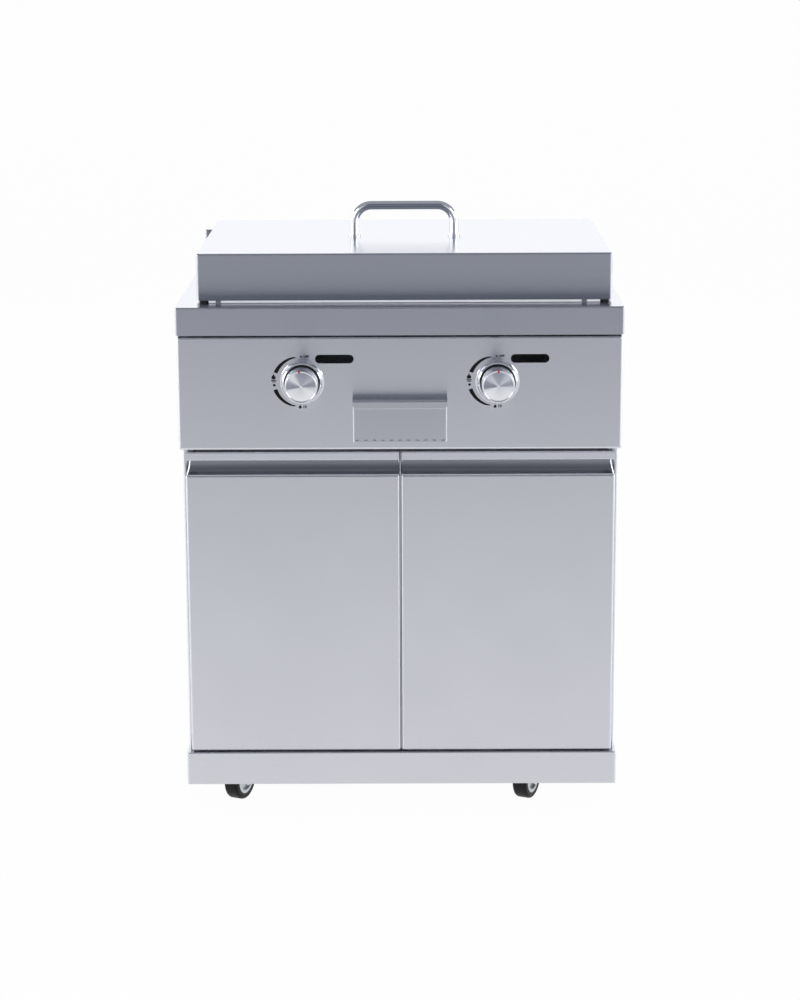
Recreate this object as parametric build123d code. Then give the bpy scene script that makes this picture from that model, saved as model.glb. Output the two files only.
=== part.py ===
from build123d import *
import math
import os

# Teppanyaki grill module. Millimetres, front towards -Y, +Z up, floor at z = 0.

# Worktop
WORKTOP_WIDTH = 760.0
WORKTOP_DEPTH = 600.0
WORKTOP_HEIGHT = 910.0
RIM_HEIGHT = 48.0
HEM_HEIGHT = 10.0

# Stainless sheet and its folds
SHEET = 1.2
FOLD = 2.6
CORNER = 3.2
FIT = 0.3

# Rear upstand
UPSTAND_WIDTH = 747.0
UPSTAND_HEIGHT = 64.0
UPSTAND_THICKNESS = 12.0
UPSTAND_INSET = 2.0

# Control panel, setbacks are measured behind the worktop's front edge
PANEL_SETBACK = 4.0
PANEL_SIDE_INSET = 1.0
PANEL_TOP_GAP = 2.5
PANEL_HEIGHT = 195.5
PANEL_FOLD = 4.0
PANEL_CORNER = 4.6

# Knobs, bezels and flame viewing slots
KNOB_SPACING = 332.0
KNOB_DROP = 77.5
KNOB_PROJECTION = 52.0
KNOB_RADIUS = 27.6
KNOB_SKIRT_RADIUS = 29.8
KNOB_PUSH = 4.0
BEZEL_RADIUS = 37.4
BEZEL_DEPTH = 13.0
CAP_GAP = 1.0
STEM_RADIUS = 3.0
STEM_FIT = 0.05
SLOT_LENGTH = 65.5
SLOT_HEIGHT = 15.0
SLOT_ACROSS = 55.0
SLOT_UP = 39.0

# Grease drawer
DRAWER_FRONT_WIDTH = 161.0
DRAWER_FRONT_HEIGHT = 76.3
DRAWER_FRONT_RISE = 14.0
DRAWER_FRONT_DEPTH = 4.0
DRAWER_LIP = 25.0
DRAWER_LIP_DROP = 15.4
DRAWER_LIP_HEM = 6.0
DRAWER_LIP_CHAMFER = 6.0
DRAWER_WIDTH = 144.0
DRAWER_DEPTH = 230.0
DRAWER_HEIGHT = 50.0
DRAWER_RISE = 6.0
DRAWER_HOLES = 11
DRAWER_HOLE_PITCH = 14.6
DRAWER_HOLE_LENGTH = 6.0
DRAWER_HOLE_HEIGHT = 3.4

# Doors
DOOR_SETBACK = 21.0
DOOR_THICKNESS = 21.0
DOOR_REAR_GAP = 5.0
DOOR_EDGE_INSET = 6.0
DOOR_GAP = 2.2
DOOR_TOP_GAP = 7.3
DOOR_BOTTOM_GAP = 2.2
PULL_FLANGE = 14.5
PULL_OPENING = 26.4
PULL_DEPTH = 19.0
PULL_END_INSET = 1.0
PULL_COVE = 14.0
PULL_LEAN = 6.0
PULL_HEM = 6.0
PULL_END_SETBACK = 7.0
DOOR_FOLD = 3.4
PIVOT_FROM_EDGE = 11.0
PIVOT_FROM_FACE = 8.5
PIVOT_RADIUS = 3.0
PIVOT_FIT = 0.06
BUSH_RADIUS = 4.6
BUSH_LENGTH = 9.0

# Cabinet body and plinth
CABINET_INSET = 4.0
CABINET_REAR_INSET = 30.0
FLANGE = 20.0
SHELF_SKIRT = 16.0
SHELF_DROP = 2.0
VENT_LENGTH = 70.0
VENT_HEIGHT = 8.0
VENT_ACROSS = 100.0
VENT_UP = 18.0
VENT_RISE = 40.0
UPPER_VENT_RISE = 22.0
PLINTH_PROUD = 5.0
PLINTH_SIDE_PROUD = 2.5
PLINTH_CLEARANCE = 58.0
PLINTH_HEIGHT = 58.0
PLINTH_FOLD = 1.6

# Drop-in tub and griddle plate
HOB_RIM_WIDTH = 616.0
HOB_RIM_DEPTH = 430.0
HOB_RIM_LAND = 16.0
HOB_RIM_RISE = 3.5
HOB_RIM_SLOPE = 3.0
TUB_DEPTH = 92.0
TUB_CUTOUT_FIT = 2.0
PLATE_THICKNESS = 10.0
PLATE_SINK = 2.5
PLATE_FIT = 2.0
CHANNEL_WIDTH = 12.0
CHANNEL_DEPTH = 4.0
DRAIN_RADIUS = 10.0

# Burners and gas parts
BURNER_RADIUS = 12.0
BURNER_WALL = 1.5
BURNER_SPAN = 100.0
BURNER_BELOW_PLATE = 46.0
BURNER_BEND = 30.0
BURNER_PORTS = 12
MANIFOLD_RADIUS = 10.5
MANIFOLD_WALL = 2.0
MANIFOLD_BEHIND_PANEL = 32.0
MANIFOLD_SIDE_GAP = 86.0
INLET_RADIUS = 8.0
INLET_THREAD_RADIUS = 6.58
INLET_THREAD_LENGTH = 14.0
VALVE_LENGTH = 46.0
VALVE_HALF = 11.0
VALVE_GAP = 9.0
PLUG_RADIUS = 6.5
PLUG_LENGTH = 28.0

# Lid, standing loose on the worktop
LID_WIDTH = 709.0
LID_DEPTH = 512.0
LID_HEIGHT = 80.0
LID_SETBACK = 51.0
LID_SHIFT = 8.0
LID_RETURN = 16.0
LID_CORNER = 4.0
LID_FOLD = 3.0
LID_SEAM_DROP = 4.2
LID_FOOT = 14.0
LID_FOOT_HEIGHT = 4.7
LID_FOOT_INSET = 5.0
HANDLE_RADIUS = 8.0
HANDLE_SPACING = 178.0
HANDLE_RISE = 64.2
HANDLE_BEND = 30.0
HANDLE_SETBACK = 242.0
COLLAR_RADIUS = 11.0
COLLAR_HEIGHT = 5.0
SCREW_RADIUS = 3.0

# Casters
WHEEL_RADIUS = 37.5
WHEEL_WIDTH = 27.0
HUB_RADIUS = 27.0
AXLE_RADIUS = 4.0
AXLE_FIT = 0.05
CASTER_TRAIL = 43.0
CASTER_SPACING = 518.0
CASTER_SHIFT = -15.0
CASTER_INSET = 132.5
CASTER_TOP = 100.0
CASTER_PLATE = 70.0
CASTER_PLATE_THICKNESS = 3.0
CASTER_HOLE_SPACING = 52.0
CASTER_RAIL_WIDTH = 120.0
CASTER_BOLT_RADIUS = 4.0
KINGPIN_RADIUS = 6.0
KINGPIN_FIT = 0.08
CROWN_RADIUS = 25.0
CROWN_THICKNESS = 4.6
FORK_SHEET = 2.5
CASTER_HEADINGS = {
    "front_left": 245.0,
    "front_right": 245.0,
    "rear_left": 130.0,
    "rear_right": 60.0,
}

# Levels and planes that follow from the sizes above
half_width = WORKTOP_WIDTH / 2
knob_reach = KNOB_PROJECTION - PANEL_SETBACK
overall_depth = WORKTOP_DEPTH + knob_reach
worktop_back = overall_depth / 2
worktop_front = worktop_back - WORKTOP_DEPTH
worktop_under = WORKTOP_HEIGHT - SHEET
rim_bottom = WORKTOP_HEIGHT - RIM_HEIGHT

panel_front = worktop_front + PANEL_SETBACK
panel_inside = panel_front + SHEET
panel_half = half_width - PANEL_SIDE_INSET
panel_top = rim_bottom - PANEL_TOP_GAP
panel_bottom = panel_top - PANEL_HEIGHT
knob_x = KNOB_SPACING / 2
knob_z = panel_top - KNOB_DROP

door_front = worktop_front + DOOR_SETBACK
door_back = door_front + DOOR_THICKNESS
cabinet_front = door_back + DOOR_REAR_GAP
cabinet_back = worktop_back - CABINET_REAR_INSET
cabinet_half = half_width - CABINET_INSET
plinth_top = PLINTH_CLEARANCE + PLINTH_HEIGHT
plinth_front = door_front - PLINTH_PROUD
plinth_back = cabinet_back + PLINTH_SIDE_PROUD
plinth_half = cabinet_half + PLINTH_SIDE_PROUD
back_panel_front = cabinet_back - 2 * SHEET
shelf_top = panel_bottom - SHELF_DROP

door_edge = cabinet_half - DOOR_EDGE_INSET
door_top = panel_bottom - DOOR_TOP_GAP
door_bottom = plinth_top + DOOR_BOTTOM_GAP
skin_top = door_top - PULL_FLANGE - PULL_OPENING
pivot_x = door_edge - PIVOT_FROM_EDGE
pivot_y = door_front + PIVOT_FROM_FACE

lid_front = worktop_front + LID_SETBACK
lid_middle = lid_front + LID_DEPTH / 2
lid_bottom = WORKTOP_HEIGHT + LID_FOOT_HEIGHT
lid_top = lid_bottom + LID_HEIGHT
lid_seam = lid_top - LID_SEAM_DROP
handle_y = lid_front + HANDLE_SETBACK
handle_axis_top = lid_top + HANDLE_RISE - HANDLE_RADIUS

hob_y = lid_middle
rim_top = WORKTOP_HEIGHT + HOB_RIM_RISE
tub_half_x = HOB_RIM_WIDTH / 2 - HOB_RIM_LAND
tub_half_y = HOB_RIM_DEPTH / 2 - HOB_RIM_LAND
tub_bottom = WORKTOP_HEIGHT - TUB_DEPTH
tub_floor = tub_bottom + SHEET
plate_top = rim_top - PLATE_SINK
plate_bottom = plate_top - PLATE_THICKNESS
plate_half_x = tub_half_x - SHEET - PLATE_FIT
plate_half_y = tub_half_y - SHEET - PLATE_FIT
drain_y = hob_y - plate_half_y + CHANNEL_WIDTH + DRAIN_RADIUS

drawer_panel_gap = FIT
drawer_back_of_front = panel_front - drawer_panel_gap
drawer_face = drawer_back_of_front - DRAWER_FRONT_DEPTH
drawer_inside = drawer_face + SHEET
drawer_front_bottom = panel_bottom + DRAWER_FRONT_RISE
drawer_bottom = drawer_front_bottom + DRAWER_RISE
drawer_top = drawer_bottom + DRAWER_HEIGHT

burner_z = plate_bottom - BURNER_BELOW_PLATE
riser_y = hob_y - tub_half_y + SHEET + 2 * BURNER_RADIUS + 12.0
burner_front = riser_y + BURNER_BEND + 8.0
burner_back = hob_y + tub_half_y - 34.0
burner_rest_y = burner_back - 40.0
manifold_y = panel_front + MANIFOLD_BEHIND_PANEL
manifold_z = knob_z - VALVE_HALF - MANIFOLD_RADIUS - 2.0
valve_front = panel_inside + VALVE_GAP
valve_back = valve_front + VALVE_LENGTH
jet_end = valve_back + 16.0
inlet_end = worktop_back - 6.0
manifold_end = cabinet_half - MANIFOLD_SIDE_GAP
inlet_x = manifold_end - 15.0

caster_left = CASTER_SHIFT - CASTER_SPACING / 2
caster_right = CASTER_SHIFT + CASTER_SPACING / 2
caster_plate_bottom = CASTER_TOP - CASTER_PLATE_THICKNESS
race_bottom = caster_plate_bottom - 9.0
crown_top = race_bottom - FIT
crown_bottom = crown_top - CROWN_THICKNESS
caster_places = {
    "front_left": (caster_left, plinth_front + CASTER_INSET),
    "front_right": (caster_right, plinth_front + CASTER_INSET),
    "rear_left": (caster_left, plinth_back - CASTER_INSET),
    "rear_right": (caster_right, plinth_back - CASTER_INSET),
}

ABOVE = (Align.CENTER, Align.CENTER, Align.MIN)
UP = (0, 0, 1)
REARWARD = (0, 1, 0)
RIGHT = (1, 0, 0)


# Shapes used by several pieces

def block(x, y, z):
    """A cuboid from three (low, high) ranges."""
    middle = [(span[0] + span[1]) / 2 for span in (x, y, z)]
    size = [span[1] - span[0] for span in (x, y, z)]
    return Pos(*middle) * Box(*size)


def rod(start, direction, radius, length):
    """A round bar from a start point along a direction."""
    return Plane(origin=start, z_dir=direction) * Cylinder(radius, length, align=ABOVE)


def turned(outline):
    """A turned piece about local z, from (radius, height) points."""
    return revolve(Plane.XZ * make_face(Polyline(*outline, close=True)), Axis.Z)


def facing_front(x, z):
    """Placement on the control panel's face, local z pointing at the user."""
    return Pos(x, panel_front, z) * Rot(90, 0, 0)


def pan(x, y, z, opens="down", wall=SHEET, corner=CORNER, fold=FOLD):
    """A folded sheet pan that fills three ranges and is open on one side."""
    middle = [(span[0] + span[1]) / 2 for span in (x, y, z)]
    across, deep, high = [span[1] - span[0] for span in (x, y, z)]
    turn = {"down": Rot(0, 0, 0), "up": Rot(180, 0, 0), "back": Rot(90, 0, 0)}[opens]
    if opens == "back":
        deep, high = high, deep
    outer = Box(across, deep, high)
    inner = Pos(0, 0, -wall / 2) * Box(across - 2 * wall, deep - 2 * wall, high - wall)
    outer = rounded_pan(outer, corner, fold)
    inner = rounded_pan(inner, corner - wall, fold - wall)
    return Pos(*middle) * turn * (outer - inner)


def rounded_pan(solid, corner, fold):
    """Rounds the four upright edges and the edges of the closed face."""
    solid = fillet(solid.edges().filter_by(Axis.Z), corner)
    return fillet(solid.faces().sort_by(Axis.Z)[-1].edges(), fold)


def folded(points, radii, side, wall=SHEET):
    """Section of a folded sheet: a line of folds thickened to one side."""
    line = FilletPolyline(*points, radius=radii)
    return make_face(offset(line, amount=wall, side=side).edges())


def along_x(section, x):
    """A (y, z) section drawn out over a range of x."""
    return extrude(Plane.YZ.offset(x[0]) * section, amount=x[1] - x[0])


def upright(section, z):
    """An (x, y) section drawn up over a range of z."""
    return extrude(Plane.XY.offset(z[0]) * section, amount=z[1] - z[0])


def frame_ring(across, deep, corner, inward, z):
    """A flat rectangular ring, its outside rounded at the corners."""
    outline = RectangleRounded(across, deep, corner)
    hole = Rectangle(across - 2 * inward, deep - 2 * inward)
    return upright(outline - hole, z)


# Cabinet

def base_plinth():
    base = pan(
        (-plinth_half, plinth_half),
        (plinth_front, plinth_back),
        (PLINTH_CLEARANCE, plinth_top),
        fold=PLINTH_FOLD,
    )
    for side in (-1, 1):
        hole = rod((side * pivot_x, pivot_y, plinth_top - 5), UP, PIVOT_RADIUS + PIVOT_FIT, 10)
        base -= hole
    return base


def caster_rails():
    rails = []
    rail_top = plinth_top - SHEET
    for name in ("front_left", "rear_left"):
        middle = caster_places[name][1]
        low, high = middle - CASTER_RAIL_WIDTH / 2, middle + CASTER_RAIL_WIDTH / 2
        section = folded(
            [(low, rail_top), (low, CASTER_TOP), (high, CASTER_TOP), (high, rail_top)],
            [FOLD, FOLD],
            Side.LEFT,
            2 * SHEET,
        )
        rail = along_x(section, (caster_left - CASTER_PLATE, caster_right + CASTER_PLATE))
        for x, y in bolt_places():
            rail -= rod((x, y, CASTER_TOP - 5), UP, CASTER_BOLT_RADIUS + KINGPIN_FIT, 15)
        rails.append(rail)
    return Compound(rails)


def side_panel(side):
    inner = cabinet_half - FLANGE
    section = folded(
        [
            (inner, cabinet_front),
            (cabinet_half, cabinet_front),
            (cabinet_half, cabinet_back),
            (inner, cabinet_back),
        ],
        [FOLD, FOLD],
        Side.LEFT,
    )
    panel = upright(section, (plinth_top, worktop_under))
    return panel if side > 0 else mirror(panel, about=Plane.YZ)


def back_panel():
    reach = cabinet_half - SHEET - FOLD
    sheet = block((-reach, reach), (back_panel_front, cabinet_back - SHEET), (plinth_top, worktop_under))
    sheet -= rod((inlet_x, back_panel_front - 5, manifold_z), REARWARD, INLET_RADIUS + FIT, 10)
    slot = Plane.XZ * SlotOverall(VENT_LENGTH, VENT_HEIGHT)
    rows = [plinth_top + VENT_RISE + row * VENT_UP for row in range(3)]
    rows += [shelf_top + UPPER_VENT_RISE + row * VENT_UP for row in range(2)]
    for z in rows:
        for column in (-2.5, -1.5, -0.5, 0.5, 1.5, 2.5):
            place = Pos(column * VENT_ACROSS, cabinet_back, z)
            sheet -= place * extrude(slot, amount=10, both=True)
    return sheet


def ceiling_shelf():
    reach = cabinet_half - SHEET - FIT
    depth = (cabinet_front + SHEET + FIT, back_panel_front - FIT)
    return pan((-reach, reach), depth, (shelf_top - SHELF_SKIRT, shelf_top))


def magnet_catches():
    front = door_front + PULL_DEPTH + FIT
    high = shelf_top - SHELF_SKIRT
    return Compound(
        [block((side * 24 - 15, side * 24 + 15), (front, front + 22), (high - 15, high)) for side in (-1, 1)]
    )


def door_pins():
    """Pivot pins riveted through the base and through the panel's lower fold."""
    pins = []
    for side in (-1, 1):
        x = side * pivot_x
        low_head = plinth_top - SHEET
        low = rod((x, pivot_y, low_head - 2), UP, PIVOT_RADIUS + 2, 2)
        low += rod((x, pivot_y, low_head), UP, PIVOT_RADIUS, door_bottom + BUSH_LENGTH - 1 - low_head)
        high_head = panel_bottom + SHEET
        foot = door_top - BUSH_LENGTH + 1
        high = rod((x, pivot_y, high_head), UP, PIVOT_RADIUS + 2, 2)
        high += rod((x, pivot_y, foot), UP, PIVOT_RADIUS, high_head - foot)
        pins += [low, high]
    return Compound(pins)


# Worktop

def worktop():
    top = pan((-half_width, half_width), (worktop_front, worktop_back), (rim_bottom, WORKTOP_HEIGHT))
    across, deep = WORKTOP_WIDTH - 2 * SHEET, WORKTOP_DEPTH - 2 * SHEET
    hem = frame_ring(across, deep, CORNER - SHEET, SHEET, (rim_bottom, rim_bottom + HEM_HEIGHT))
    top += Pos(0, (worktop_front + worktop_back) / 2, 0) * hem
    reach_x, reach_y = tub_half_x + TUB_CUTOUT_FIT, tub_half_y + TUB_CUTOUT_FIT
    top -= block(
        (-reach_x, reach_x), (hob_y - reach_y, hob_y + reach_y), (worktop_under - 5, WORKTOP_HEIGHT + 5)
    )
    return top


def rear_upstand():
    back = worktop_back - UPSTAND_INSET
    return pan(
        (-UPSTAND_WIDTH / 2, UPSTAND_WIDTH / 2),
        (back - UPSTAND_THICKNESS, back),
        (WORKTOP_HEIGHT, WORKTOP_HEIGHT + UPSTAND_HEIGHT),
    )


# Control panel

def control_panel():
    panel = pan(
        (-panel_half, panel_half),
        (panel_front, cabinet_front),
        (panel_bottom, panel_top),
        opens="back",
        corner=PANEL_CORNER,
        fold=PANEL_FOLD,
    )
    for side in (-1, 1):
        x = side * knob_x
        panel -= facing_front(x, knob_z) * Cylinder(STEM_RADIUS + 5, 20)
        slot = Plane.XZ * SlotOverall(SLOT_LENGTH, SLOT_HEIGHT)
        panel -= Pos(x + SLOT_ACROSS, panel_front, knob_z + SLOT_UP) * extrude(slot, amount=6, both=True)
        panel -= rod(
            (side * pivot_x, pivot_y, panel_bottom - 5), UP, PIVOT_RADIUS + PIVOT_FIT, 10
        )
    reach = DRAWER_WIDTH / 2 + 1.5
    panel -= block(
        (-reach, reach), (panel_front - 5, panel_inside + 5), (drawer_bottom - 1.5, drawer_top + 1.5)
    )
    return panel


def knob_bezels():
    """Domed chrome cups round the knobs, open in front."""
    inner = KNOB_SKIRT_RADIUS + 0.9
    lip = inner + 0.9
    outline = make_face(
        [
            Line((STEM_RADIUS + 4, 0), (BEZEL_RADIUS, 0)),
            Line((BEZEL_RADIUS, 0), (BEZEL_RADIUS, 2.2)),
            Line((BEZEL_RADIUS, 2.2), (BEZEL_RADIUS - 0.8, 2.6)),
            RadiusArc((BEZEL_RADIUS - 0.8, 2.6), (lip, BEZEL_DEPTH), -14),
            Line((lip, BEZEL_DEPTH), (inner, BEZEL_DEPTH - 0.5)),
            Line((inner, BEZEL_DEPTH - 0.5), (inner, 1.6)),
            Line((inner, 1.6), (STEM_RADIUS + 4, 1.6)),
            Line((STEM_RADIUS + 4, 1.6), (STEM_RADIUS + 4, 0)),
        ]
    )
    cup = revolve(Plane.XZ * outline, Axis.Z)
    return Compound([facing_front(side * knob_x, knob_z) * cup for side in (-1, 1)])


def knob_cap(side):
    """The metal knob: a cup with a stem socket inside."""
    rear, front, wall = BEZEL_DEPTH + CAP_GAP, KNOB_PROJECTION, 3.0
    bore = STEM_RADIUS + STEM_FIT
    cap = turned(
        [
            (bore, rear),
            (bore + 4, rear),
            (bore + 4, front - wall),
            (KNOB_RADIUS - wall, front - wall),
            (KNOB_RADIUS - wall + 0.6, rear),
            (KNOB_RADIUS + 0.6, rear),
            (KNOB_RADIUS, front - 1.4),
            (KNOB_RADIUS - 1.4, front),
            (0, front),
            (0, front - wall - 1),
            (bore, front - wall - 1),
        ]
    )
    return facing_front(side * knob_x, knob_z) * cap


def knob_skirt(side):
    """The black ring behind the metal cap."""
    rear, front = KNOB_PUSH + 3.0, BEZEL_DEPTH + CAP_GAP
    ring = turned(
        [
            (KNOB_SKIRT_RADIUS - 9, rear),
            (KNOB_SKIRT_RADIUS, rear),
            (KNOB_SKIRT_RADIUS, front - 0.8),
            (KNOB_SKIRT_RADIUS - 0.8, front),
            (KNOB_SKIRT_RADIUS - 9, front),
        ]
    )
    return facing_front(side * knob_x, knob_z) * ring


def knob_stem(side):
    """The valve stem that the knob is pushed onto."""
    rear = panel_front - (valve_front + PLUG_LENGTH - KNOB_PUSH - 6)
    front = KNOB_PROJECTION - 3.0 - 1.0
    stem = Pos(0, 0, rear) * Cylinder(STEM_RADIUS, front - rear, align=ABOVE)
    return facing_front(side * knob_x, knob_z) * stem


# Grease drawer

def drawer_front():
    """The front, a shallow channel folded out level at the top into a lip with a hemmed drop."""
    back, face = drawer_back_of_front, drawer_face
    top = drawer_front_bottom + DRAWER_FRONT_HEIGHT
    lip_root = top - 3 * FOLD
    reach = DRAWER_FRONT_WIDTH / 2
    channel = folded(
        [(-reach, back), (-reach, face), (reach, face), (reach, back)], [FOLD, FOLD], Side.LEFT
    )
    front = upright(channel, (drawer_front_bottom, lip_root))
    lip_front = back - DRAWER_LIP
    lip_bottom = top - DRAWER_LIP_DROP
    under, behind = top - SHEET, lip_front + SHEET
    lip = folded(
        [(face, lip_root - SHEET), (face, under), (behind, under), (behind, lip_bottom + SHEET)],
        [FOLD, FOLD],
        Side.RIGHT,
    )
    front += along_x(lip, (-reach, reach))
    front += block(
        (-reach, reach), (lip_front, behind + SHEET), (lip_bottom + SHEET, lip_bottom + DRAWER_LIP_HEM)
    )
    front += rod((-reach, behind, lip_bottom + SHEET), RIGHT, SHEET, 2 * reach)
    for side in (-1, 1):
        corner = Polyline(
            (side * (reach + 2), lip_bottom - 2),
            (side * (reach - DRAWER_LIP_CHAMFER - 2), lip_bottom - 2),
            (side * (reach + 2), lip_bottom + DRAWER_LIP_CHAMFER + 2),
            close=True,
        )
        wedge = extrude(Plane.XZ * make_face(corner), amount=4 * SHEET)
        front -= Pos(0, behind + 2 * SHEET, 0) * wedge
    hole = Plane.XZ * SlotOverall(DRAWER_HOLE_LENGTH, DRAWER_HOLE_HEIGHT)
    for number in range(DRAWER_HOLES):
        x = (number - (DRAWER_HOLES - 1) / 2) * DRAWER_HOLE_PITCH
        z = drawer_front_bottom + DRAWER_HOLE_HEIGHT
        front -= Pos(x, face, z) * extrude(hole, amount=2 * SHEET, both=True)
    return front


def drawer_tray():
    half = DRAWER_WIDTH / 2
    return pan(
        (-half, half),
        (drawer_inside, drawer_back_of_front + DRAWER_DEPTH),
        (drawer_bottom, drawer_top),
        opens="up",
    )


def drawer_runners():
    """Folded rails on the shelf that the tray slides on."""
    web = DRAWER_WIDTH / 2 - 2
    ledge = drawer_bottom - FIT - SHEET
    section = folded(
        [(web + 18, shelf_top), (web, shelf_top), (web, ledge), (web - 16, ledge)],
        [FOLD, FOLD],
        Side.RIGHT,
    )
    start = cabinet_front + FIT
    length = drawer_back_of_front + DRAWER_DEPTH - start
    right = Pos(0, start + length, 0) * extrude(Plane.XZ * section, amount=length)
    return Compound([right, mirror(right, about=Plane.YZ)])


# Tub, griddle plate and burners

def hob_tub():
    """The drop-in tub, its rim folded up over the worktop."""
    slope = math.degrees(math.atan2(HOB_RIM_SLOPE, HOB_RIM_RISE))
    outer = extrude(RectangleRounded(HOB_RIM_WIDTH, HOB_RIM_DEPTH, 10), amount=HOB_RIM_RISE, taper=slope)
    inner = extrude(
        RectangleRounded(HOB_RIM_WIDTH - 3 * SHEET, HOB_RIM_DEPTH - 3 * SHEET, 8),
        amount=HOB_RIM_RISE - SHEET,
        taper=slope,
    )
    rim = Pos(0, hob_y, WORKTOP_HEIGHT) * (outer - inner)
    walls = block(
        (-tub_half_x, tub_half_x), (hob_y - tub_half_y, hob_y + tub_half_y), (tub_bottom, rim_top)
    )
    space = block(
        (-tub_half_x + SHEET, tub_half_x - SHEET),
        (hob_y - tub_half_y + SHEET, hob_y + tub_half_y - SHEET),
        (tub_floor, rim_top + 5),
    )
    tub = rim + walls - space
    for side in (-1, 1):
        tub -= rod((side * knob_x, riser_y, tub_bottom - 5), UP, BURNER_RADIUS + 0.5, 10)
        tub -= rod((igniter_x(side), riser_y, tub_bottom - 5), UP, 3.2, 10)
    tub -= rod((0, drain_y, tub_bottom - 5), UP, DRAIN_RADIUS + 2.5, 10)
    return tub


def igniter_x(side):
    return side * (knob_x + BURNER_SPAN / 2 - 18)


def griddle_plate():
    """The cooking plate with a grease channel round it and a drain in front."""
    plate = extrude(RectangleRounded(2 * plate_half_x, 2 * plate_half_y, 6), amount=PLATE_THICKNESS)
    outside = RectangleRounded(2 * (plate_half_x - 6), 2 * (plate_half_y - 6), 5)
    inset = 6 + CHANNEL_WIDTH
    inside = RectangleRounded(2 * (plate_half_x - inset), 2 * (plate_half_y - inset), 5)
    channel = extrude(outside - inside, amount=CHANNEL_DEPTH)
    plate -= Pos(0, 0, PLATE_THICKNESS - CHANNEL_DEPTH) * channel
    plate = Pos(0, hob_y, plate_bottom) * plate
    return plate - rod((0, drain_y, plate_bottom - 5), UP, DRAIN_RADIUS, PLATE_THICKNESS + 10)


def hob_brackets():
    """Two angle ledges under the plate and one rest under the burners."""
    wall = tub_half_x - SHEET
    reach = tub_half_y - SHEET - 10
    ledges = []
    for side in (-1, 1):
        x = sorted((side * wall, side * (wall - 22)))
        upright_x = sorted((side * wall, side * (wall - 2)))
        span = (hob_y - reach, hob_y + reach)
        ledge = block(x, span, (plate_bottom - 2, plate_bottom))
        ledge += block(upright_x, span, (plate_bottom - 20, plate_bottom))
        ledges.append(ledge)
    across = knob_x + BURNER_SPAN / 2 + BURNER_RADIUS + 4
    rest_top = burner_z - BURNER_RADIUS
    rest = block((-across, across), (burner_rest_y, burner_rest_y + 2), (tub_floor, rest_top))
    rest += block((-across, across), (burner_rest_y, burner_rest_y + 20), (tub_floor, tub_floor + 2))
    return Compound(ledges + [rest])


def grease_chute():
    """A tube that hangs in the tub floor and drips into the drawer."""
    bottom, top = drawer_top + 4, plate_bottom - FIT
    start = (0, drain_y, bottom)
    tube = rod(start, UP, DRAIN_RADIUS + 2, top - bottom)
    tube += rod((0, drain_y, tub_floor), UP, DRAIN_RADIUS + 9, 2)
    return tube - rod((0, drain_y, bottom - 5), UP, DRAIN_RADIUS, top - bottom + 10)


def burner(side):
    """A bent inlet tube that feeds two parallel burner pipes."""
    x = side * knob_x
    mouth = jet_end - 8
    line = Plane.YZ.offset(x) * FilletPolyline(
        (mouth, knob_z), (riser_y, knob_z), (riser_y, burner_z), (burner_front, burner_z), radius=BURNER_BEND
    )
    shell = tube_tree(line, x, BURNER_RADIUS, 0)
    bore = tube_tree(line, x, BURNER_RADIUS - BURNER_WALL, BURNER_WALL)
    shell -= bore
    pitch = (burner_back - burner_front - 30) / BURNER_PORTS
    for leg in (-1, 1):
        for number in range(BURNER_PORTS):
            place = (x + leg * BURNER_SPAN / 2, burner_front + 24 + number * pitch, burner_z)
            shell -= rod(place, UP, 1.6, BURNER_RADIUS + 5)
    return shell


def tube_tree(line, x, radius, end_wall):
    """Inlet tube, cross tube and two legs, all of one radius."""
    section = Plane(origin=line @ 0, z_dir=line % 0) * Circle(radius)
    tree = sweep(section, path=line)
    half = BURNER_SPAN / 2
    tree += rod((x - half, burner_front, burner_z), RIGHT, radius, BURNER_SPAN)
    length = burner_back - burner_front - end_wall
    for leg in (-1, 1):
        tree += rod((x + leg * half, burner_front, burner_z), REARWARD, radius, length)
        tree += Pos(x + leg * half, burner_front, burner_z) * Sphere(radius)
    return tree


def igniter_electrodes():
    """Ceramic rods standing in the tub floor beside the burners."""
    top = burner_z
    electrodes = []
    for side in (-1, 1):
        x = igniter_x(side)
        body = rod((x, riser_y, tub_bottom - 14), UP, 3.0, top - tub_bottom + 14)
        body += rod((x, riser_y, tub_floor), UP, 6.0, 3)
        body += rod((x, riser_y, top), UP, 1.2, 8)
        electrodes.append(body)
    return Compound(electrodes)


# Gas supply

def gas_manifold():
    start = -knob_x - 40
    length = manifold_end - start
    pipe = rod((start, manifold_y, manifold_z), RIGHT, MANIFOLD_RADIUS, length)
    inner = MANIFOLD_RADIUS - MANIFOLD_WALL
    pipe -= rod((start + 3, manifold_y, manifold_z), RIGHT, inner, length - 6)
    for side in (-1, 1):
        pipe -= rod((side * knob_x, manifold_y, manifold_z), UP, 5.0 + FIT, MANIFOLD_RADIUS + 5)
    pipe -= rod((inlet_x, manifold_y, manifold_z), REARWARD, INLET_RADIUS - 4, 20)
    return pipe


def gas_inlet():
    """The supply pipe from the manifold to the threaded end behind the cabinet."""
    x = inlet_x
    saddle = manifold_y
    thread = inlet_end - INLET_THREAD_LENGTH
    pipe = rod((x, saddle, manifold_z), REARWARD, INLET_RADIUS, thread - saddle)
    pipe -= rod((x - 30, manifold_y, manifold_z), RIGHT, MANIFOLD_RADIUS, 60)
    pipe += rod((x, thread, manifold_z), REARWARD, INLET_THREAD_RADIUS, INLET_THREAD_LENGTH)
    return pipe - rod((x, saddle - 5, manifold_z), REARWARD, INLET_RADIUS - 4, inlet_end - saddle + 10)


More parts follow.
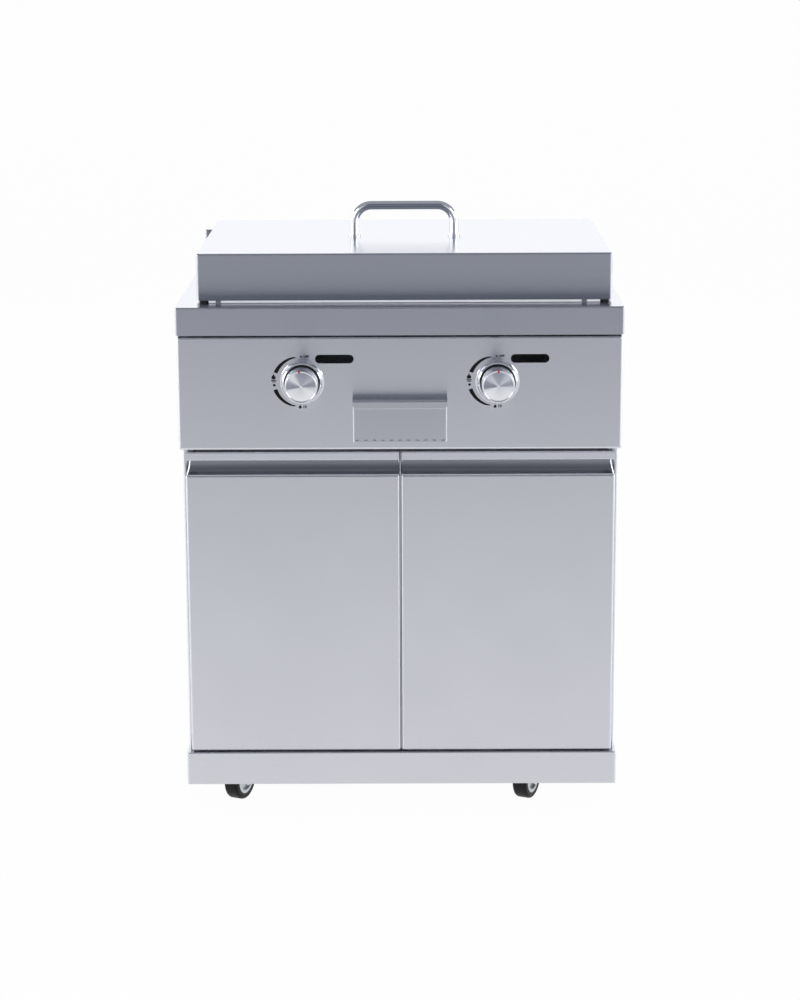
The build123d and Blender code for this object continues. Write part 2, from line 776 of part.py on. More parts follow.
def gas_valves():
    """Valve bodies on the manifold, each with an inlet neck and a jet."""
    valves = []
    for side in (-1, 1):
        x = side * knob_x
        half = VALVE_HALF
        body = block((x - half, x + half), (valve_front, valve_back), (knob_z - half, knob_z + half))
        body += rod((x, valve_back, knob_z), REARWARD, 4.0, jet_end - valve_back)
        neck_bottom = manifold_z + MANIFOLD_RADIUS - MANIFOLD_WALL - 2
        body += rod((x, manifold_y, neck_bottom), UP, 5.0, knob_z - half - neck_bottom)
        body -= rod((x, valve_front - 5, knob_z), REARWARD, PLUG_RADIUS + STEM_FIT, PLUG_LENGTH + 5 + FIT)
        valves.append(body)
    return Compound(valves)


def valve_plug(side):
    """The plug turned by the stem, inside the valve."""
    x = side * knob_x
    plug = rod((x, valve_front, knob_z), REARWARD, PLUG_RADIUS, PLUG_LENGTH)
    bore = STEM_RADIUS + STEM_FIT
    return plug - rod((x, valve_front - 5, knob_z), REARWARD, bore, PLUG_LENGTH - 3 + 5)


# Lid

def lid_roof():
    """The lid's top sheet, its edges rolled down and welded to the band below."""
    half = LID_WIDTH / 2
    roof = pan(
        (LID_SHIFT - half, LID_SHIFT + half),
        (lid_front, lid_front + LID_DEPTH),
        (lid_seam, lid_top),
        corner=LID_CORNER,
        fold=LID_FOLD,
    )
    for x in handle_places():
        roof -= rod((x, handle_y, lid_top - 5), UP, SCREW_RADIUS + FIT, 10)
    return roof


def lid_band():
    """The lid's four walls, one bent band with a flange turned in at the bottom."""
    across, deep = LID_WIDTH - 2 * SHEET, LID_DEPTH - 2 * SHEET
    inner = LID_CORNER - SHEET
    wall = RectangleRounded(LID_WIDTH, LID_DEPTH, LID_CORNER) - RectangleRounded(across, deep, inner)
    band = upright(wall, (lid_bottom, lid_seam))
    band += frame_ring(across, deep, inner, LID_RETURN, (lid_bottom, lid_bottom + SHEET))
    return Pos(LID_SHIFT, lid_middle, 0) * band


def handle_places():
    return [LID_SHIFT + side * HANDLE_SPACING / 2 for side in (-1, 1)]


def lid_handle():
    """A bow bent from round bar, tapped at both feet."""
    left, right = handle_places()
    line = Plane(origin=(0, handle_y, 0), x_dir=RIGHT, z_dir=(0, -1, 0)) * FilletPolyline(
        (left, lid_top), (left, handle_axis_top), (right, handle_axis_top), (right, lid_top), radius=HANDLE_BEND
    )
    bow = sweep(Plane(origin=line @ 0, z_dir=line % 0) * Circle(HANDLE_RADIUS), path=line)
    for x in (left, right):
        bow -= rod((x, handle_y, lid_top - 5), UP, SCREW_RADIUS + STEM_FIT, 21)
    return bow


def handle_collars():
    collars = []
    for x in handle_places():
        ring = Cylinder(COLLAR_RADIUS, COLLAR_HEIGHT, align=ABOVE)
        ring = fillet(ring.faces().sort_by(Axis.Z)[-1].edges(), 1.5)
        ring -= Cylinder(HANDLE_RADIUS + STEM_FIT, 3 * COLLAR_HEIGHT)
        collars.append(Pos(x, handle_y, lid_top) * ring)
    return Compound(collars)


def handle_screws():
    screws = []
    for x in handle_places():
        under = lid_top - SHEET
        screw = rod((x, handle_y, under - 4), UP, 2 * SCREW_RADIUS, 4)
        screws.append(screw + rod((x, handle_y, under), UP, SCREW_RADIUS, SHEET + 14))
    return Compound(screws)


def lid_feet():
    feet = []
    inset = LID_FOOT_INSET + LID_FOOT / 2
    for side in (-1, 1):
        for y in (lid_front + inset, lid_front + LID_DEPTH - inset):
            x = LID_SHIFT + side * (LID_WIDTH / 2 - inset)
            pad = Box(LID_FOOT, LID_FOOT, LID_FOOT_HEIGHT, align=ABOVE)
            pad = fillet(pad.edges().filter_by(Axis.Z), 3)
            feet.append(Pos(x, y, WORKTOP_HEIGHT) * pad)
    return Compound(feet)


# Doors, drawn for the right side and mirrored for the left

def on_side(shape, side):
    return shape if side > 0 else mirror(shape, about=Plane.YZ)


def door_skin(side):
    skin = pan(
        (DOOR_GAP / 2, door_edge),
        (door_front, door_back),
        (door_bottom, skin_top),
        opens="back",
        fold=DOOR_FOLD,
    )
    skin -= rod((pivot_x, pivot_y, door_bottom - 5), UP, BUSH_RADIUS + PIVOT_FIT, 10)
    return on_side(skin, side)


def door_pull(side):
    """The pull channel above the door's face: a leaning cove behind a hemmed flange, closed at its ends."""
    back = door_front + PULL_DEPTH
    flange_bottom = door_top - PULL_FLANGE
    section = folded(
        [
            (door_front, skin_top),
            (back - PULL_LEAN, skin_top),
            (back, door_top),
            (door_front, door_top),
            (door_front, flange_bottom + SHEET),
        ],
        [PULL_COVE, FOLD, FOLD],
        Side.LEFT,
    )
    start, end = DOOR_GAP / 2 + PULL_END_INSET, door_edge - PULL_END_INSET
    pull = along_x(section, (start, end))
    hem = door_front + SHEET
    pull += block(
        (start, end), (door_front, hem + SHEET), (flange_bottom + SHEET, flange_bottom + PULL_HEM)
    )
    pull += rod((start, hem, flange_bottom + SHEET), RIGHT, SHEET, end - start)
    behind = FilletPolyline(
        (door_front, skin_top),
        (back - PULL_LEAN, skin_top),
        (back, door_top),
        (hem, door_top),
        radius=[PULL_COVE, FOLD],
    )
    middle = (door_front + PULL_END_SETBACK, (flange_bottom + skin_top) / 2)
    ahead = ThreePointArc((hem, door_top), middle, (door_front, skin_top))
    plate = make_face(behind.edges() + ahead.edges())
    pull += along_x(plate, (start, start + SHEET)) + along_x(plate, (end - SHEET, end))
    pull -= rod((pivot_x, pivot_y, door_top - 5), UP, BUSH_RADIUS + PIVOT_FIT, 10)
    return on_side(pull, side)


def door_liner(side):
    """The inner sheet that closes the back of the door."""
    gap = SHEET + FIT
    liner = block(
        (DOOR_GAP / 2 + gap, door_edge - gap),
        (door_back - SHEET, door_back),
        (door_bottom + gap, skin_top - gap),
    )
    liner = fillet(liner.edges().filter_by(Axis.Y), CORNER)
    return on_side(liner, side)


def door_bushes(side):
    """Flanged bushes that turn on the pivot pins."""
    bore = PIVOT_RADIUS + PIVOT_FIT
    low_flange = plinth_top + FIT
    low = rod((pivot_x, pivot_y, door_bottom), UP, BUSH_RADIUS, BUSH_LENGTH)
    low += rod((pivot_x, pivot_y, low_flange), UP, BUSH_RADIUS + 1.5, door_bottom - low_flange)
    low -= rod((pivot_x, pivot_y, low_flange - 5), UP, bore, BUSH_LENGTH + 15)
    high = rod((pivot_x, pivot_y, door_top - BUSH_LENGTH), UP, BUSH_RADIUS, BUSH_LENGTH)
    high += rod((pivot_x, pivot_y, door_top), UP, BUSH_RADIUS + 1.5, 2)
    high -= rod((pivot_x, pivot_y, door_top - BUSH_LENGTH - 5), UP, bore, BUSH_LENGTH + 15)
    return on_side(Compound([low, high]), side)


# Casters, drawn trailing along +X and turned to their heading

def bolt_places():
    half = CASTER_HOLE_SPACING / 2
    places = []
    for x, y in caster_places.values():
        for across in (-half, half):
            for along in (-half, half):
                places.append((x + across, y + along))
    return places


def caster_plates():
    plates = []
    for x, y in caster_places.values():
        plate = Pos(0, 0, caster_plate_bottom) * Box(
            CASTER_PLATE, CASTER_PLATE, CASTER_PLATE_THICKNESS, align=ABOVE
        )
        plate = fillet(plate.edges().filter_by(Axis.Z), 6)
        plate += rod((0, 0, race_bottom), UP, CROWN_RADIUS - 1, caster_plate_bottom - race_bottom)
        plate -= rod((0, 0, race_bottom - 5), UP, KINGPIN_RADIUS + KINGPIN_FIT, 30)
        plate = Pos(x, y, 0) * plate
        for place in bolt_places():
            plate -= rod((*place, caster_plate_bottom - 5), UP, CASTER_BOLT_RADIUS + KINGPIN_FIT, 15)
        plates.append(plate)
    return Compound(plates)


def caster_bolts():
    bolts = []
    for x, y in bolt_places():
        head = Plane.XY.offset(caster_plate_bottom - 5) * RegularPolygon(7.5, 6)
        bolt = Pos(x, y, 0) * extrude(head, amount=5)
        bolt += rod((x, y, caster_plate_bottom), UP, CASTER_BOLT_RADIUS, CASTER_PLATE_THICKNESS + 9)
        bolts.append(bolt)
    return Compound(bolts)


def on_caster(shape, name):
    x, y = caster_places[name]
    return Pos(x, y, 0) * Rot(0, 0, CASTER_HEADINGS[name]) * shape


def caster_fork(name):
    """Crown, king pin and two legs, with the axle bolt through them."""
    inside = WHEEL_WIDTH / 2 + 2.0
    crown = rod((0, 0, crown_bottom), UP, CROWN_RADIUS, CROWN_THICKNESS)
    pin_top = CASTER_TOP - 1
    fork = crown + rod((0, 0, crown_top), UP, KINGPIN_RADIUS, pin_top - crown_top)
    crown_middle = (crown_top + crown_bottom) / 2
    bar = Pos(2, crown_middle) * Rectangle(36, CROWN_THICKNESS)
    end = Pos(CASTER_TRAIL, WHEEL_RADIUS) * Circle(12)
    leg = make_hull((bar + end).edges())
    for rear in (-inside, inside + FORK_SHEET):
        fork += Pos(0, rear, 0) * extrude(Plane.XZ * leg, amount=FORK_SHEET)
    axle_start = -inside - FORK_SHEET
    hole = rod((CASTER_TRAIL, axle_start - 5, WHEEL_RADIUS), REARWARD, AXLE_RADIUS + AXLE_FIT, 60)
    fork -= hole
    length = 2 * (inside + FORK_SHEET)
    axle = rod((CASTER_TRAIL, axle_start, WHEEL_RADIUS), REARWARD, AXLE_RADIUS, length)
    for start in (axle_start - 4.5, -axle_start):
        hexagon = Plane(origin=(CASTER_TRAIL, start, WHEEL_RADIUS), z_dir=REARWARD) * RegularPolygon(7.0, 6)
        axle += extrude(hexagon, amount=4.5)
    return on_caster(Compound([fork, axle]), name)


def caster_hub(name):
    half, boss, bore = WHEEL_WIDTH / 2, 9.0, AXLE_RADIUS + AXLE_FIT
    rim = HUB_RADIUS - 6
    hub = turned(
        [
            (bore, -half - 1),
            (boss, -half - 1),
            (boss, -half + 5),
            (rim, -half + 5),
            (rim, -half + 0.5),
            (HUB_RADIUS, -half + 0.5),
            (HUB_RADIUS, half - 0.5),
            (rim, half - 0.5),
            (rim, half - 5),
            (boss, half - 5),
            (boss, half + 1),
            (bore, half + 1),
        ]
    )
    return on_caster(Pos(CASTER_TRAIL, 0, WHEEL_RADIUS) * Rot(90, 0, 0) * hub, name)


def caster_tyre(name):
    tyre = Cylinder(WHEEL_RADIUS, WHEEL_WIDTH)
    tyre = fillet(tyre.edges(), 5)
    tyre -= Cylinder(HUB_RADIUS, 2 * WHEEL_WIDTH)
    return on_caster(Pos(CASTER_TRAIL, 0, WHEEL_RADIUS) * Rot(90, 0, 0) * tyre, name)


pieces = {
    "base_plinth": base_plinth(),
    "caster_rails": caster_rails(),
    "left_side_panel": side_panel(-1),
    "right_side_panel": side_panel(1),
    "back_panel": back_panel(),
    "ceiling_shelf": ceiling_shelf(),
    "magnet_catches": magnet_catches(),
    "door_pins": door_pins(),
    "worktop": worktop(),
    "rear_upstand": rear_upstand(),
    "control_panel": control_panel(),
    "knob_bezels": knob_bezels(),
    "drawer_front": drawer_front(),
    "drawer_tray": drawer_tray(),
    "drawer_runners": drawer_runners(),
    "hob_tub": hob_tub(),
    "griddle_plate": griddle_plate(),
    "hob_brackets": hob_brackets(),
    "grease_chute": grease_chute(),
    "burners": Compound([burner(-1), burner(1)]),
    "igniter_electrodes": igniter_electrodes(),
    "gas_manifold": gas_manifold(),
    "gas_inlet": gas_inlet(),
    "gas_valves": gas_valves(),
    "lid_roof": lid_roof(),
    "lid_band": lid_band(),
    "lid_handle": lid_handle(),
    "handle_collars": handle_collars(),
    "handle_screws": handle_screws(),
    "lid_feet": lid_feet(),
    "caster_plates": caster_plates(),
    "caster_bolts": caster_bolts(),
}
for word, side in (("left", -1), ("right", 1)):
    pieces[word + "_valve_plug"] = valve_plug(side)
    pieces[word + "_knob_cap"] = knob_cap(side)
    pieces[word + "_knob_skirt"] = knob_skirt(side)
    pieces[word + "_knob_stem"] = knob_stem(side)
    pieces[word + "_door_skin"] = door_skin(side)
    pieces[word + "_door_pull"] = door_pull(side)
    pieces[word + "_door_liner"] = door_liner(side)
    pieces[word + "_door_bushes"] = door_bushes(side)
for name in caster_places:
    pieces[name + "_fork"] = caster_fork(name)
    pieces[name + "_hub"] = caster_hub(name)
    pieces[name + "_tyre"] = caster_tyre(name)

os.makedirs("parts", exist_ok=True)
for name, shape in pieces.items():
    export_step(shape, "parts/" + name + ".step")
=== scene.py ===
import math
import bmesh
import bpy
from mathutils import Matrix, Vector


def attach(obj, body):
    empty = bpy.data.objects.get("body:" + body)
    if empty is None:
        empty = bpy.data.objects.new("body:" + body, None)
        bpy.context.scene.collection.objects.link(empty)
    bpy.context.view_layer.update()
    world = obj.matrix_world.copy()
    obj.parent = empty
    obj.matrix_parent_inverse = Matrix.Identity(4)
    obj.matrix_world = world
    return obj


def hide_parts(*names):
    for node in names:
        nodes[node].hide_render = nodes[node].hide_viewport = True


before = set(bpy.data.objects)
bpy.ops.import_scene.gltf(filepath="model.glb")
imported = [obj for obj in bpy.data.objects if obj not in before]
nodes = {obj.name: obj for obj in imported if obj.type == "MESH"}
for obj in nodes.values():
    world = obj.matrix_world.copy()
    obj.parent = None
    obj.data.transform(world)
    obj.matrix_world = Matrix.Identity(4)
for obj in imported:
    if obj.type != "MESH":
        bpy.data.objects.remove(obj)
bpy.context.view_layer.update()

# Teppanyaki grill module: finishes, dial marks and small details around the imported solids.
# Sizes are millimetres unless a name ends in _M, and MM turns them into Blender's metres.

MM = 0.001
SIDES = (("left", -1), ("right", 1))


# Camera, set to the photograph's viewing angle, with angles in degrees

CAMERA_PLACE_M = (0.015, -4.396, 1.520)
CAMERA_PITCH = 12.9
CAMERA_YAW = 0.217
CAMERA_ROLL = -0.245
CAMERA_LENS = 88.65
SENSOR = 36.0

# Studio paper

PAPER_HALF_WIDTH_M = 14.0
PAPER_FRONT_M = -3.8
PAPER_BEND_START_M = 6.0
PAPER_BEND_RADIUS_M = 1.6
PAPER_TOP_M = 5.0
PAPER_BEND_STEPS = 12
PAPER_WHITE = "#F4F4F5"
PAPER_GLOW = 0.97
PAPER_FIBRE = 60.0
PAPER_ROUGHNESS = (0.85, 0.95)
PAPER_SHINE = 0.1

# Studio room. A zone is given by the part of a unit direction where it starts and where it is full.

ROOM_WHITE = "#FFFFFF"
ROOM_CEILING = "#A6A8AF"
ROOM_FRONT_LOW = "#90949E"
ROOM_FRONT_HIGH = "#6A6F7A"
STRAIGHT_ON_X = (0.22, 0.13)
FORWARD_Y = (0.05, -0.25)
BELOW_CEILING_Z = (0.78, 0.5)
OVERHEAD_Z = (0.28, 0.5)
ABOVE_FLOOR_Z = (-0.12, 0.08)

# Studio lamps: place, the point they face, width and height, and brightness, with white paper as 1.
# The front and side lamps stand in pairs, and the right one of each pair is given.

REAR_LAMP_M = ((0.0, 5.4, 3.1), (0.0, 0.0, 1.0), 8.0, 3.4)
REAR_BRIGHTNESS = 0.68
FRONT_LAMP_M = ((3.0, -2.6, 2.3), (0.0, -0.2, 0.8), 1.2, 2.0)
FRONT_BRIGHTNESS = 3.5
SIDE_LAMP_M = ((4.4, 0.2, 1.7), (0.0, 0.0, 0.9), 3.2, 2.6)
SIDE_BRIGHTNESS = 2.4

# Knob caps, turned about the knobs' axes, with distances in front of the control panel

PANEL_FRONT = -272.0
KNOB_X = 166.0
KNOB_Z = 782.0
CAP_REAR = 14.0
CAP_FRONT = 52.0
CAP_RADIUS = 27.6
CAP_FLARE = 1.1
CAP_WALL = 3.0
CAP_SIDE_EASE = 0.4
CAP_SIDE_BOW = 0.02
CAP_EDGE = 1.2
CAP_EDGE_STEPS = 6
CAP_RIM = 1.7
CAP_RIM_SLOPE = 0.3
CAP_RIM_DROP = 0.05
CAP_FACE_SINK = 1.0
CAP_FACE_DOME = 0.9
CAP_FACE_EDGE = 0.2
CAP_FACE_STEPS = 12
CAP_CENTRE = 0.05
CAP_BOSS = 4.0
CAP_BORE_END = 1.0
STEM_BORE = 3.05
TURNING_STEPS = 128

# Marks printed round each knob. A mark is given by its place across and up from the knob's axis,
# then by its size. Angles are degrees from +X, anticlockwise.

INK_THICKNESS = 0.06
INK_GAP = 0.015
CRESCENT_THIN_INNER = 42.2
CRESCENT_THIN_OUTER = 43.6
CRESCENT_THICK_INNER = 44.2
CRESCENT_THICK_OUTER = 51.2
CRESCENT_GROWTH = 0.7
UPPER_CRESCENT = (104.0, 161.0)
LOWER_CRESCENT = (254.0, 196.0)
CRESCENT_STEPS = 28
HIGH_FLAME = (-48.6, 9.2, 10.0)
HIGH_BARS = [(-48.4, 2.6, 9.0, 1.7), (-48.4, 0.2, 6.2, 1.5)]
HIGH_DOT = (-47.6, -5.6, 2.2)
OFF_DOT = (-1.6, 43.4, 1.5)
OFF_WORD = (2.4, 41.7, 3.8)
LOW_FLAME = (-4.0, -42.6, 7.0)
LOW_NUMBER = (0.6, -45.0, 4.6)
DOT_STEPS = 24
LETTER_WEIGHT = 0.28
LETTER_MIDDLE = 0.042
# Height of a capital letter as a share of the font's size.
FONT_CAPITAL = 0.72
# A flame of height 1, across and up from its middle.
FLAME_OUTLINE = [
    (0.00, -0.50), (0.22, -0.46), (0.36, -0.30), (0.38, -0.10), (0.28, 0.08), (0.20, 0.02),
    (0.18, 0.22), (0.06, 0.38), (-0.06, 0.50), (-0.06, 0.30), (-0.22, 0.12), (-0.36, -0.10),
    (-0.36, -0.30), (-0.22, -0.46),
]

# Pointer on each knob cap, with its lean in degrees

POINTER_LEAN = {"left": -6.5, "right": 0.0}
POINTER_WIDTH = 3.6
POINTER_INNER = 23.2
POINTER_REACH = 4.5
POINTER_DEPTH = 0.5
POINTER_PROUD = 0.05
POINTER_SIDE_PROUD = 0.06
POINTER_FACE_PROUD = 0.1
POINTER_RIM_DROPS = (0.01, 0.005)
POINTER_EDGE_STEPS = 5
POINTER_STRIPS = 8

# Seal strip under the front edge of the lid, and its clips

SEAL_FRONT = -224.6
SEAL_BACK = -217.0
SEAL_TOP = 914.6
SEAL_SHOULDER = 911.0
SEAL_BOTTOM = 910.2
SEAL_STEPS = 10
SEAL_ENDS = (-326.0, 342.0)
SEAL_CLIPS = (-309.5, 315.0)
CLIP_WIDTH = 9.0
CLIP_SHEET = 0.3
CLIP_GAP = 0.02

# Bumper strip on the left door's free edge, in the gap between the doors

STRIP_SIDES = (-1.05, 0.75)
STRIP_FRONT = -253.4
STRIP_BACK = -240.0
STRIP_ROUND = 0.4
STRIP_ENDS = (121.0, 655.0)

# Bent leaf at the outer end of each pull channel, between its foot and its head on the right door

WEB_FOOT = (367.9, -253.7, 615.4)
WEB_HEAD = (361.9, -251.3, 644.0)
WEB_CURVE = 1.7
WEB_STEPS = 14
# Inward and back from the leaf's middle line: a face turned outward, then a thin sheet behind it.
WEB_OUTLINE = ((-1.1, 0.42), (0.0, -0.06), (1.1, -0.42), (1.1, 5.0), (0.2, 5.0), (0.2, 1.2))

# Screws down each side of the back, set from the side panel's outer face and ends

SCREW_INSET = 12.0
SCREW_END = 34.0
SCREW_COUNT = 5
SCREW_SEAT_GAP = 0.02
SCREW_STEPS = 48
# Rings of a screw head: radius, height above its seat, and the ring's flats, none for a round one.
SCREW_PROFILE = (
    (4.75, 0.0, 0), (4.75, 0.5, 0), (4.5, 1.1, 0), (4.0, 1.7, 0), (3.3, 2.2, 0), (2.6, 2.45, 0),
    (1.5, 2.5, 6), (1.5, 1.2, 6),
)


# Material nodes

def linear(hex_colour):
    """An sRGB hex colour as linear red, green, blue and alpha."""
    channels = [int(hex_colour[at:at + 2], 16) / 255 for at in (1, 3, 5)]
    straight = [c / 12.92 if c <= 0.04045 else ((c + 0.055) / 1.055) ** 2.4 for c in channels]
    return (*straight, 1.0)


def per_mm(length):
    """Cycles per metre of a pattern that repeats over a length in millimetres."""
    return 1.0 / (length * MM)


def add(tree, kind, inputs=None, **settings):
    """Adds one node. An input takes a value, or an output socket to link from."""
    node = tree.nodes.new(kind)
    for name, value in settings.items():
        setattr(node, name, value)
    for name, value in (inputs or {}).items():
        if isinstance(value, bpy.types.NodeSocket):
            tree.links.new(value, node.inputs[name])
        else:
            node.inputs[name].default_value = value
    return node


def new_finish(name):
    """An empty material, with its node tree and its texture coordinates."""
    finish = bpy.data.materials.new(name)
    finish.use_nodes = True
    tree = finish.node_tree
    tree.nodes.clear()
    return finish, tree, add(tree, "ShaderNodeTexCoord").outputs


def principled(tree, inputs):
    """Ends a finish in the principled shader."""
    shader = add(tree, "ShaderNodeBsdfPrincipled", inputs)
    add(tree, "ShaderNodeOutputMaterial", {"Surface": shader.outputs[0]})


def calc(tree, operation, first, second=0.0):
    """Arithmetic on one or two values."""
    return add(tree, "ShaderNodeMath", {0: first, 1: second}, operation=operation).outputs[0]


def vector_calc(tree, operation, first, second):
    """Arithmetic on two vectors."""
    return add(tree, "ShaderNodeVectorMath", {0: first, 1: second}, operation=operation).outputs[0]


def ranged(tree, value, span, result=(0.0, 1.0), **settings):
    """Spreads a span of values over a result, and holds it at both ends."""
    inputs = {
        "Value": value,
        "From Min": span[0],
        "From Max": span[1],
        "To Min": result[0],
        "To Max": result[1],
    }
    return add(tree, "ShaderNodeMapRange", inputs, **settings).outputs[0]


# The two inputs and the output that a mix node uses for each type of data.
MIX_SOCKETS = {"FLOAT": (2, 3, 0), "VECTOR": (4, 5, 1), "RGBA": (6, 7, 2)}


def mix(tree, data_type, share, first, second, **settings):
    """Goes from a first value, vector or colour to a second one, by a share."""
    one, other, result = MIX_SOCKETS[data_type]
    inputs = {0: share, one: first, other: second}
    return add(tree, "ShaderNodeMix", inputs, data_type=data_type, **settings).outputs[result]


def noise(tree, vector, scale, detail, roughness=0.5):
    """A cloudy pattern, as a value from 0 to 1."""
    inputs = {"Vector": vector, "Scale": scale, "Detail": detail, "Roughness": roughness}
    return add(tree, "ShaderNodeTexNoise", inputs).outputs["Fac"]


def bump(tree, height, strength, depth):
    """A relief of a depth in millimetres, as a normal."""
    inputs = {"Height": height, "Strength": strength, "Distance": depth * MM}
    return add(tree, "ShaderNodeBump", inputs).outputs[0]


# Finishes. A finish has two shades and two roughnesses that its pattern runs between.

# Most of a noise lies between these values.
NOISE_MIDDLE = (0.3, 0.7)

# Stainless sheet, brushed along its length with an abrasive belt: a soft grey that draws
# reflections out across the lines, with fine lines running level and faint cloudy patches where
# it was handled. Real belt lines are about 0.1 mm apart, too fine to show, so they are drawn
# 1.1 mm apart.
BRUSH_PITCH = 1.1
BRUSH_LENGTH = 160.0
BRUSH_STRETCH = 1.0
BRUSH_RELIEF = 0.005
BRUSH_DEPTH = 0.05
HANDLING_PATCH = 140.0
HANDLING_GLOSS = (-0.006, 0.008)
# A face counts as a side by the sideways part of its normal, and as level by the upward part.
SIDE_FACING = 0.7
LEVEL_FACING = (0.7, 0.95)
# The hollow of the pull channel is darkened as painted shade for the shadow in the channel. The
# belt cannot reach it, so it is also rougher and less streaked.
HOLLOW_HEIGHTS = (616.4, 641.5)
HOLLOW_RISE = 2.5
HOLLOW_FALL = 12.0
HOLLOW_PAINTED_SHADE = "#8A8D95"
HOLLOW_ROUGHNESS = 0.3
HOLLOW_STRETCH = 0.6


def hollow_painted_shade_mask(tree, spot, heights):
    """A mask that is full between two heights and fades towards both."""
    low, high = (height * MM for height in heights)
    height = add(tree, "ShaderNodeSeparateXYZ", {0: spot}).outputs["Z"]
    above = ranged(tree, height, (low, low + HOLLOW_RISE * MM))
    below = ranged(tree, height, (high, high - HOLLOW_FALL * MM))
    return calc(tree, "MULTIPLY", above, below)


def brushed_stainless(name, shades, roughness, hollow=None, level_roughness=None):
    """Brushed sheet. A hollow between two heights is darkened as painted shade, and is rougher and
    less streaked there.
    Level faces take the gloss of a finer belt where one is given."""
    finish, tree, place = new_finish(name)
    facing = add(tree, "ShaderNodeSeparateXYZ", {0: place["Normal"]}).outputs
    level = calc(tree, "ABSOLUTE", facing["Z"])
    on_side = calc(tree, "GREATER_THAN", calc(tree, "ABSOLUTE", facing["X"]), SIDE_FACING)
    across, along = per_mm(BRUSH_PITCH), per_mm(BRUSH_LENGTH)
    front_grid = vector_calc(tree, "MULTIPLY", place["Object"], (along, across, across))
    side_grid = vector_calc(tree, "MULTIPLY", place["Object"], (across, along, across))
    grid = mix(tree, "VECTOR", on_side, front_grid, side_grid)
    lines = noise(tree, grid, scale=1.0, detail=3.0, roughness=0.62)
    patches = noise(tree, place["Object"], per_mm(HANDLING_PATCH), detail=4.0)
    tint = mix(tree, "RGBA", lines, *map(linear, shades))
    line_gloss = ranged(tree, lines, NOISE_MIDDLE, roughness)
    patch_gloss = ranged(tree, patches, NOISE_MIDDLE, HANDLING_GLOSS)
    gloss = calc(tree, "ADD", line_gloss, patch_gloss)
    stretch = BRUSH_STRETCH
    if hollow:
        reach = hollow_painted_shade_mask(tree, place["Object"], hollow)
        # Painted shade: the hollow's colour is darkened for the shadow in the channel.
        tint = mix(tree, "RGBA", reach, tint, linear(HOLLOW_PAINTED_SHADE))
        gloss = mix(tree, "FLOAT", reach, gloss, HOLLOW_ROUGHNESS)
        stretch = ranged(tree, reach, (0.0, 1.0), (BRUSH_STRETCH, HOLLOW_STRETCH))
    if level_roughness:
        gloss = mix(tree, "FLOAT", ranged(tree, level, LEVEL_FACING), gloss, level_roughness)
    smear = add(tree, "ShaderNodeCombineXYZ", {"Y": level, "Z": 1.0})
    principled(tree, {
        "Base Color": tint,
        "Metallic": 1.0,
        "Roughness": gloss,
        "Anisotropic": stretch,
        "Normal": bump(tree, lines, BRUSH_RELIEF, BRUSH_DEPTH),
        "Tangent": smear.outputs[0],
    })
    return finish


# Chromed bar and pressings, polished before plating: mirror bright with a few dull finger smudges.
SMUDGE = 22.0
SMUDGE_SPAN = (0.4, 0.75)
CHROME_SHADES = ("#E3E5EA", "#D9DCE1")
CHROME_ROUGHNESS = (0.03, 0.09)
CHROME_RELIEF = 0.04
CHROME_DEPTH = 0.05


def polished_chrome():
    finish, tree, place = new_finish("polished_chrome")
    smudges = noise(tree, place["Object"], per_mm(SMUDGE), detail=5.0, roughness=0.6)
    principled(tree, {
        "Base Color": mix(tree, "RGBA", smudges, *map(linear, CHROME_SHADES)),
        "Metallic": 1.0,
        "Roughness": ranged(tree, smudges, SMUDGE_SPAN, CHROME_ROUGHNESS),
        "Normal": bump(tree, smudges, CHROME_RELIEF, CHROME_DEPTH),
    })
    return finish


# Knob face turned on a lathe: rings of fine grooves. The bright and dark wedges that such grooves
# fan the light out into are painted into its colour, as painted highlights and painted shade.
# Grooves of about 0.15 mm are drawn 0.8 mm apart so that they show.
GROOVE_PITCH = 0.8
RING_SCALE = math.pi / 10
GROOVE_WANDER = 0.6
GROOVE_DETAIL = 2.0
GROOVE_TINT = 0.04
GROOVE_ROUGHNESS = (0.2, 0.22)
GROOVE_RELIEF = 0.002
GROOVE_DEPTH = 0.02
GROOVE_STRETCH = 0.96
QUARTER_TURN = 0.25
FACE_MIDDLE = (0.5, 0.0, 0.5)
# Shares of a turn anticlockwise from the left side, with the colour painted there: bright for a
# painted highlight, dark for painted shade.
WEDGES = [
    (0.00, "#A4A7B2"), (0.02, "#A9ACB7"), (0.045, "#F2F4F9"), (0.25, "#FBFCFF"), (0.48, "#F2F4F9"),
    (0.515, "#B4B7C2"), (0.55, "#AEB1BC"), (0.60, "#DADDE6"), (0.72, "#DCDFE8"), (0.80, "#E2E5EE"),
    (0.855, "#FFFFFF"), (0.90, "#E6E9F1"), (0.945, "#B0B3BE"), (1.00, "#A4A7B2"),
]


def wedge_colours(tree, turn):
    """The painted highlights and shade of the wedges round the face, by the share of a turn."""
    wedges = add(tree, "ShaderNodeValToRGB", {"Fac": turn})
    stops = wedges.color_ramp.elements
    for stop, (position, shade) in zip(stops, (WEDGES[0], WEDGES[-1])):
        stop.position, stop.color = position, linear(shade)
    for position, shade in WEDGES[1:-1]:
        stops.new(position).color = linear(shade)
    return wedges.outputs["Color"]


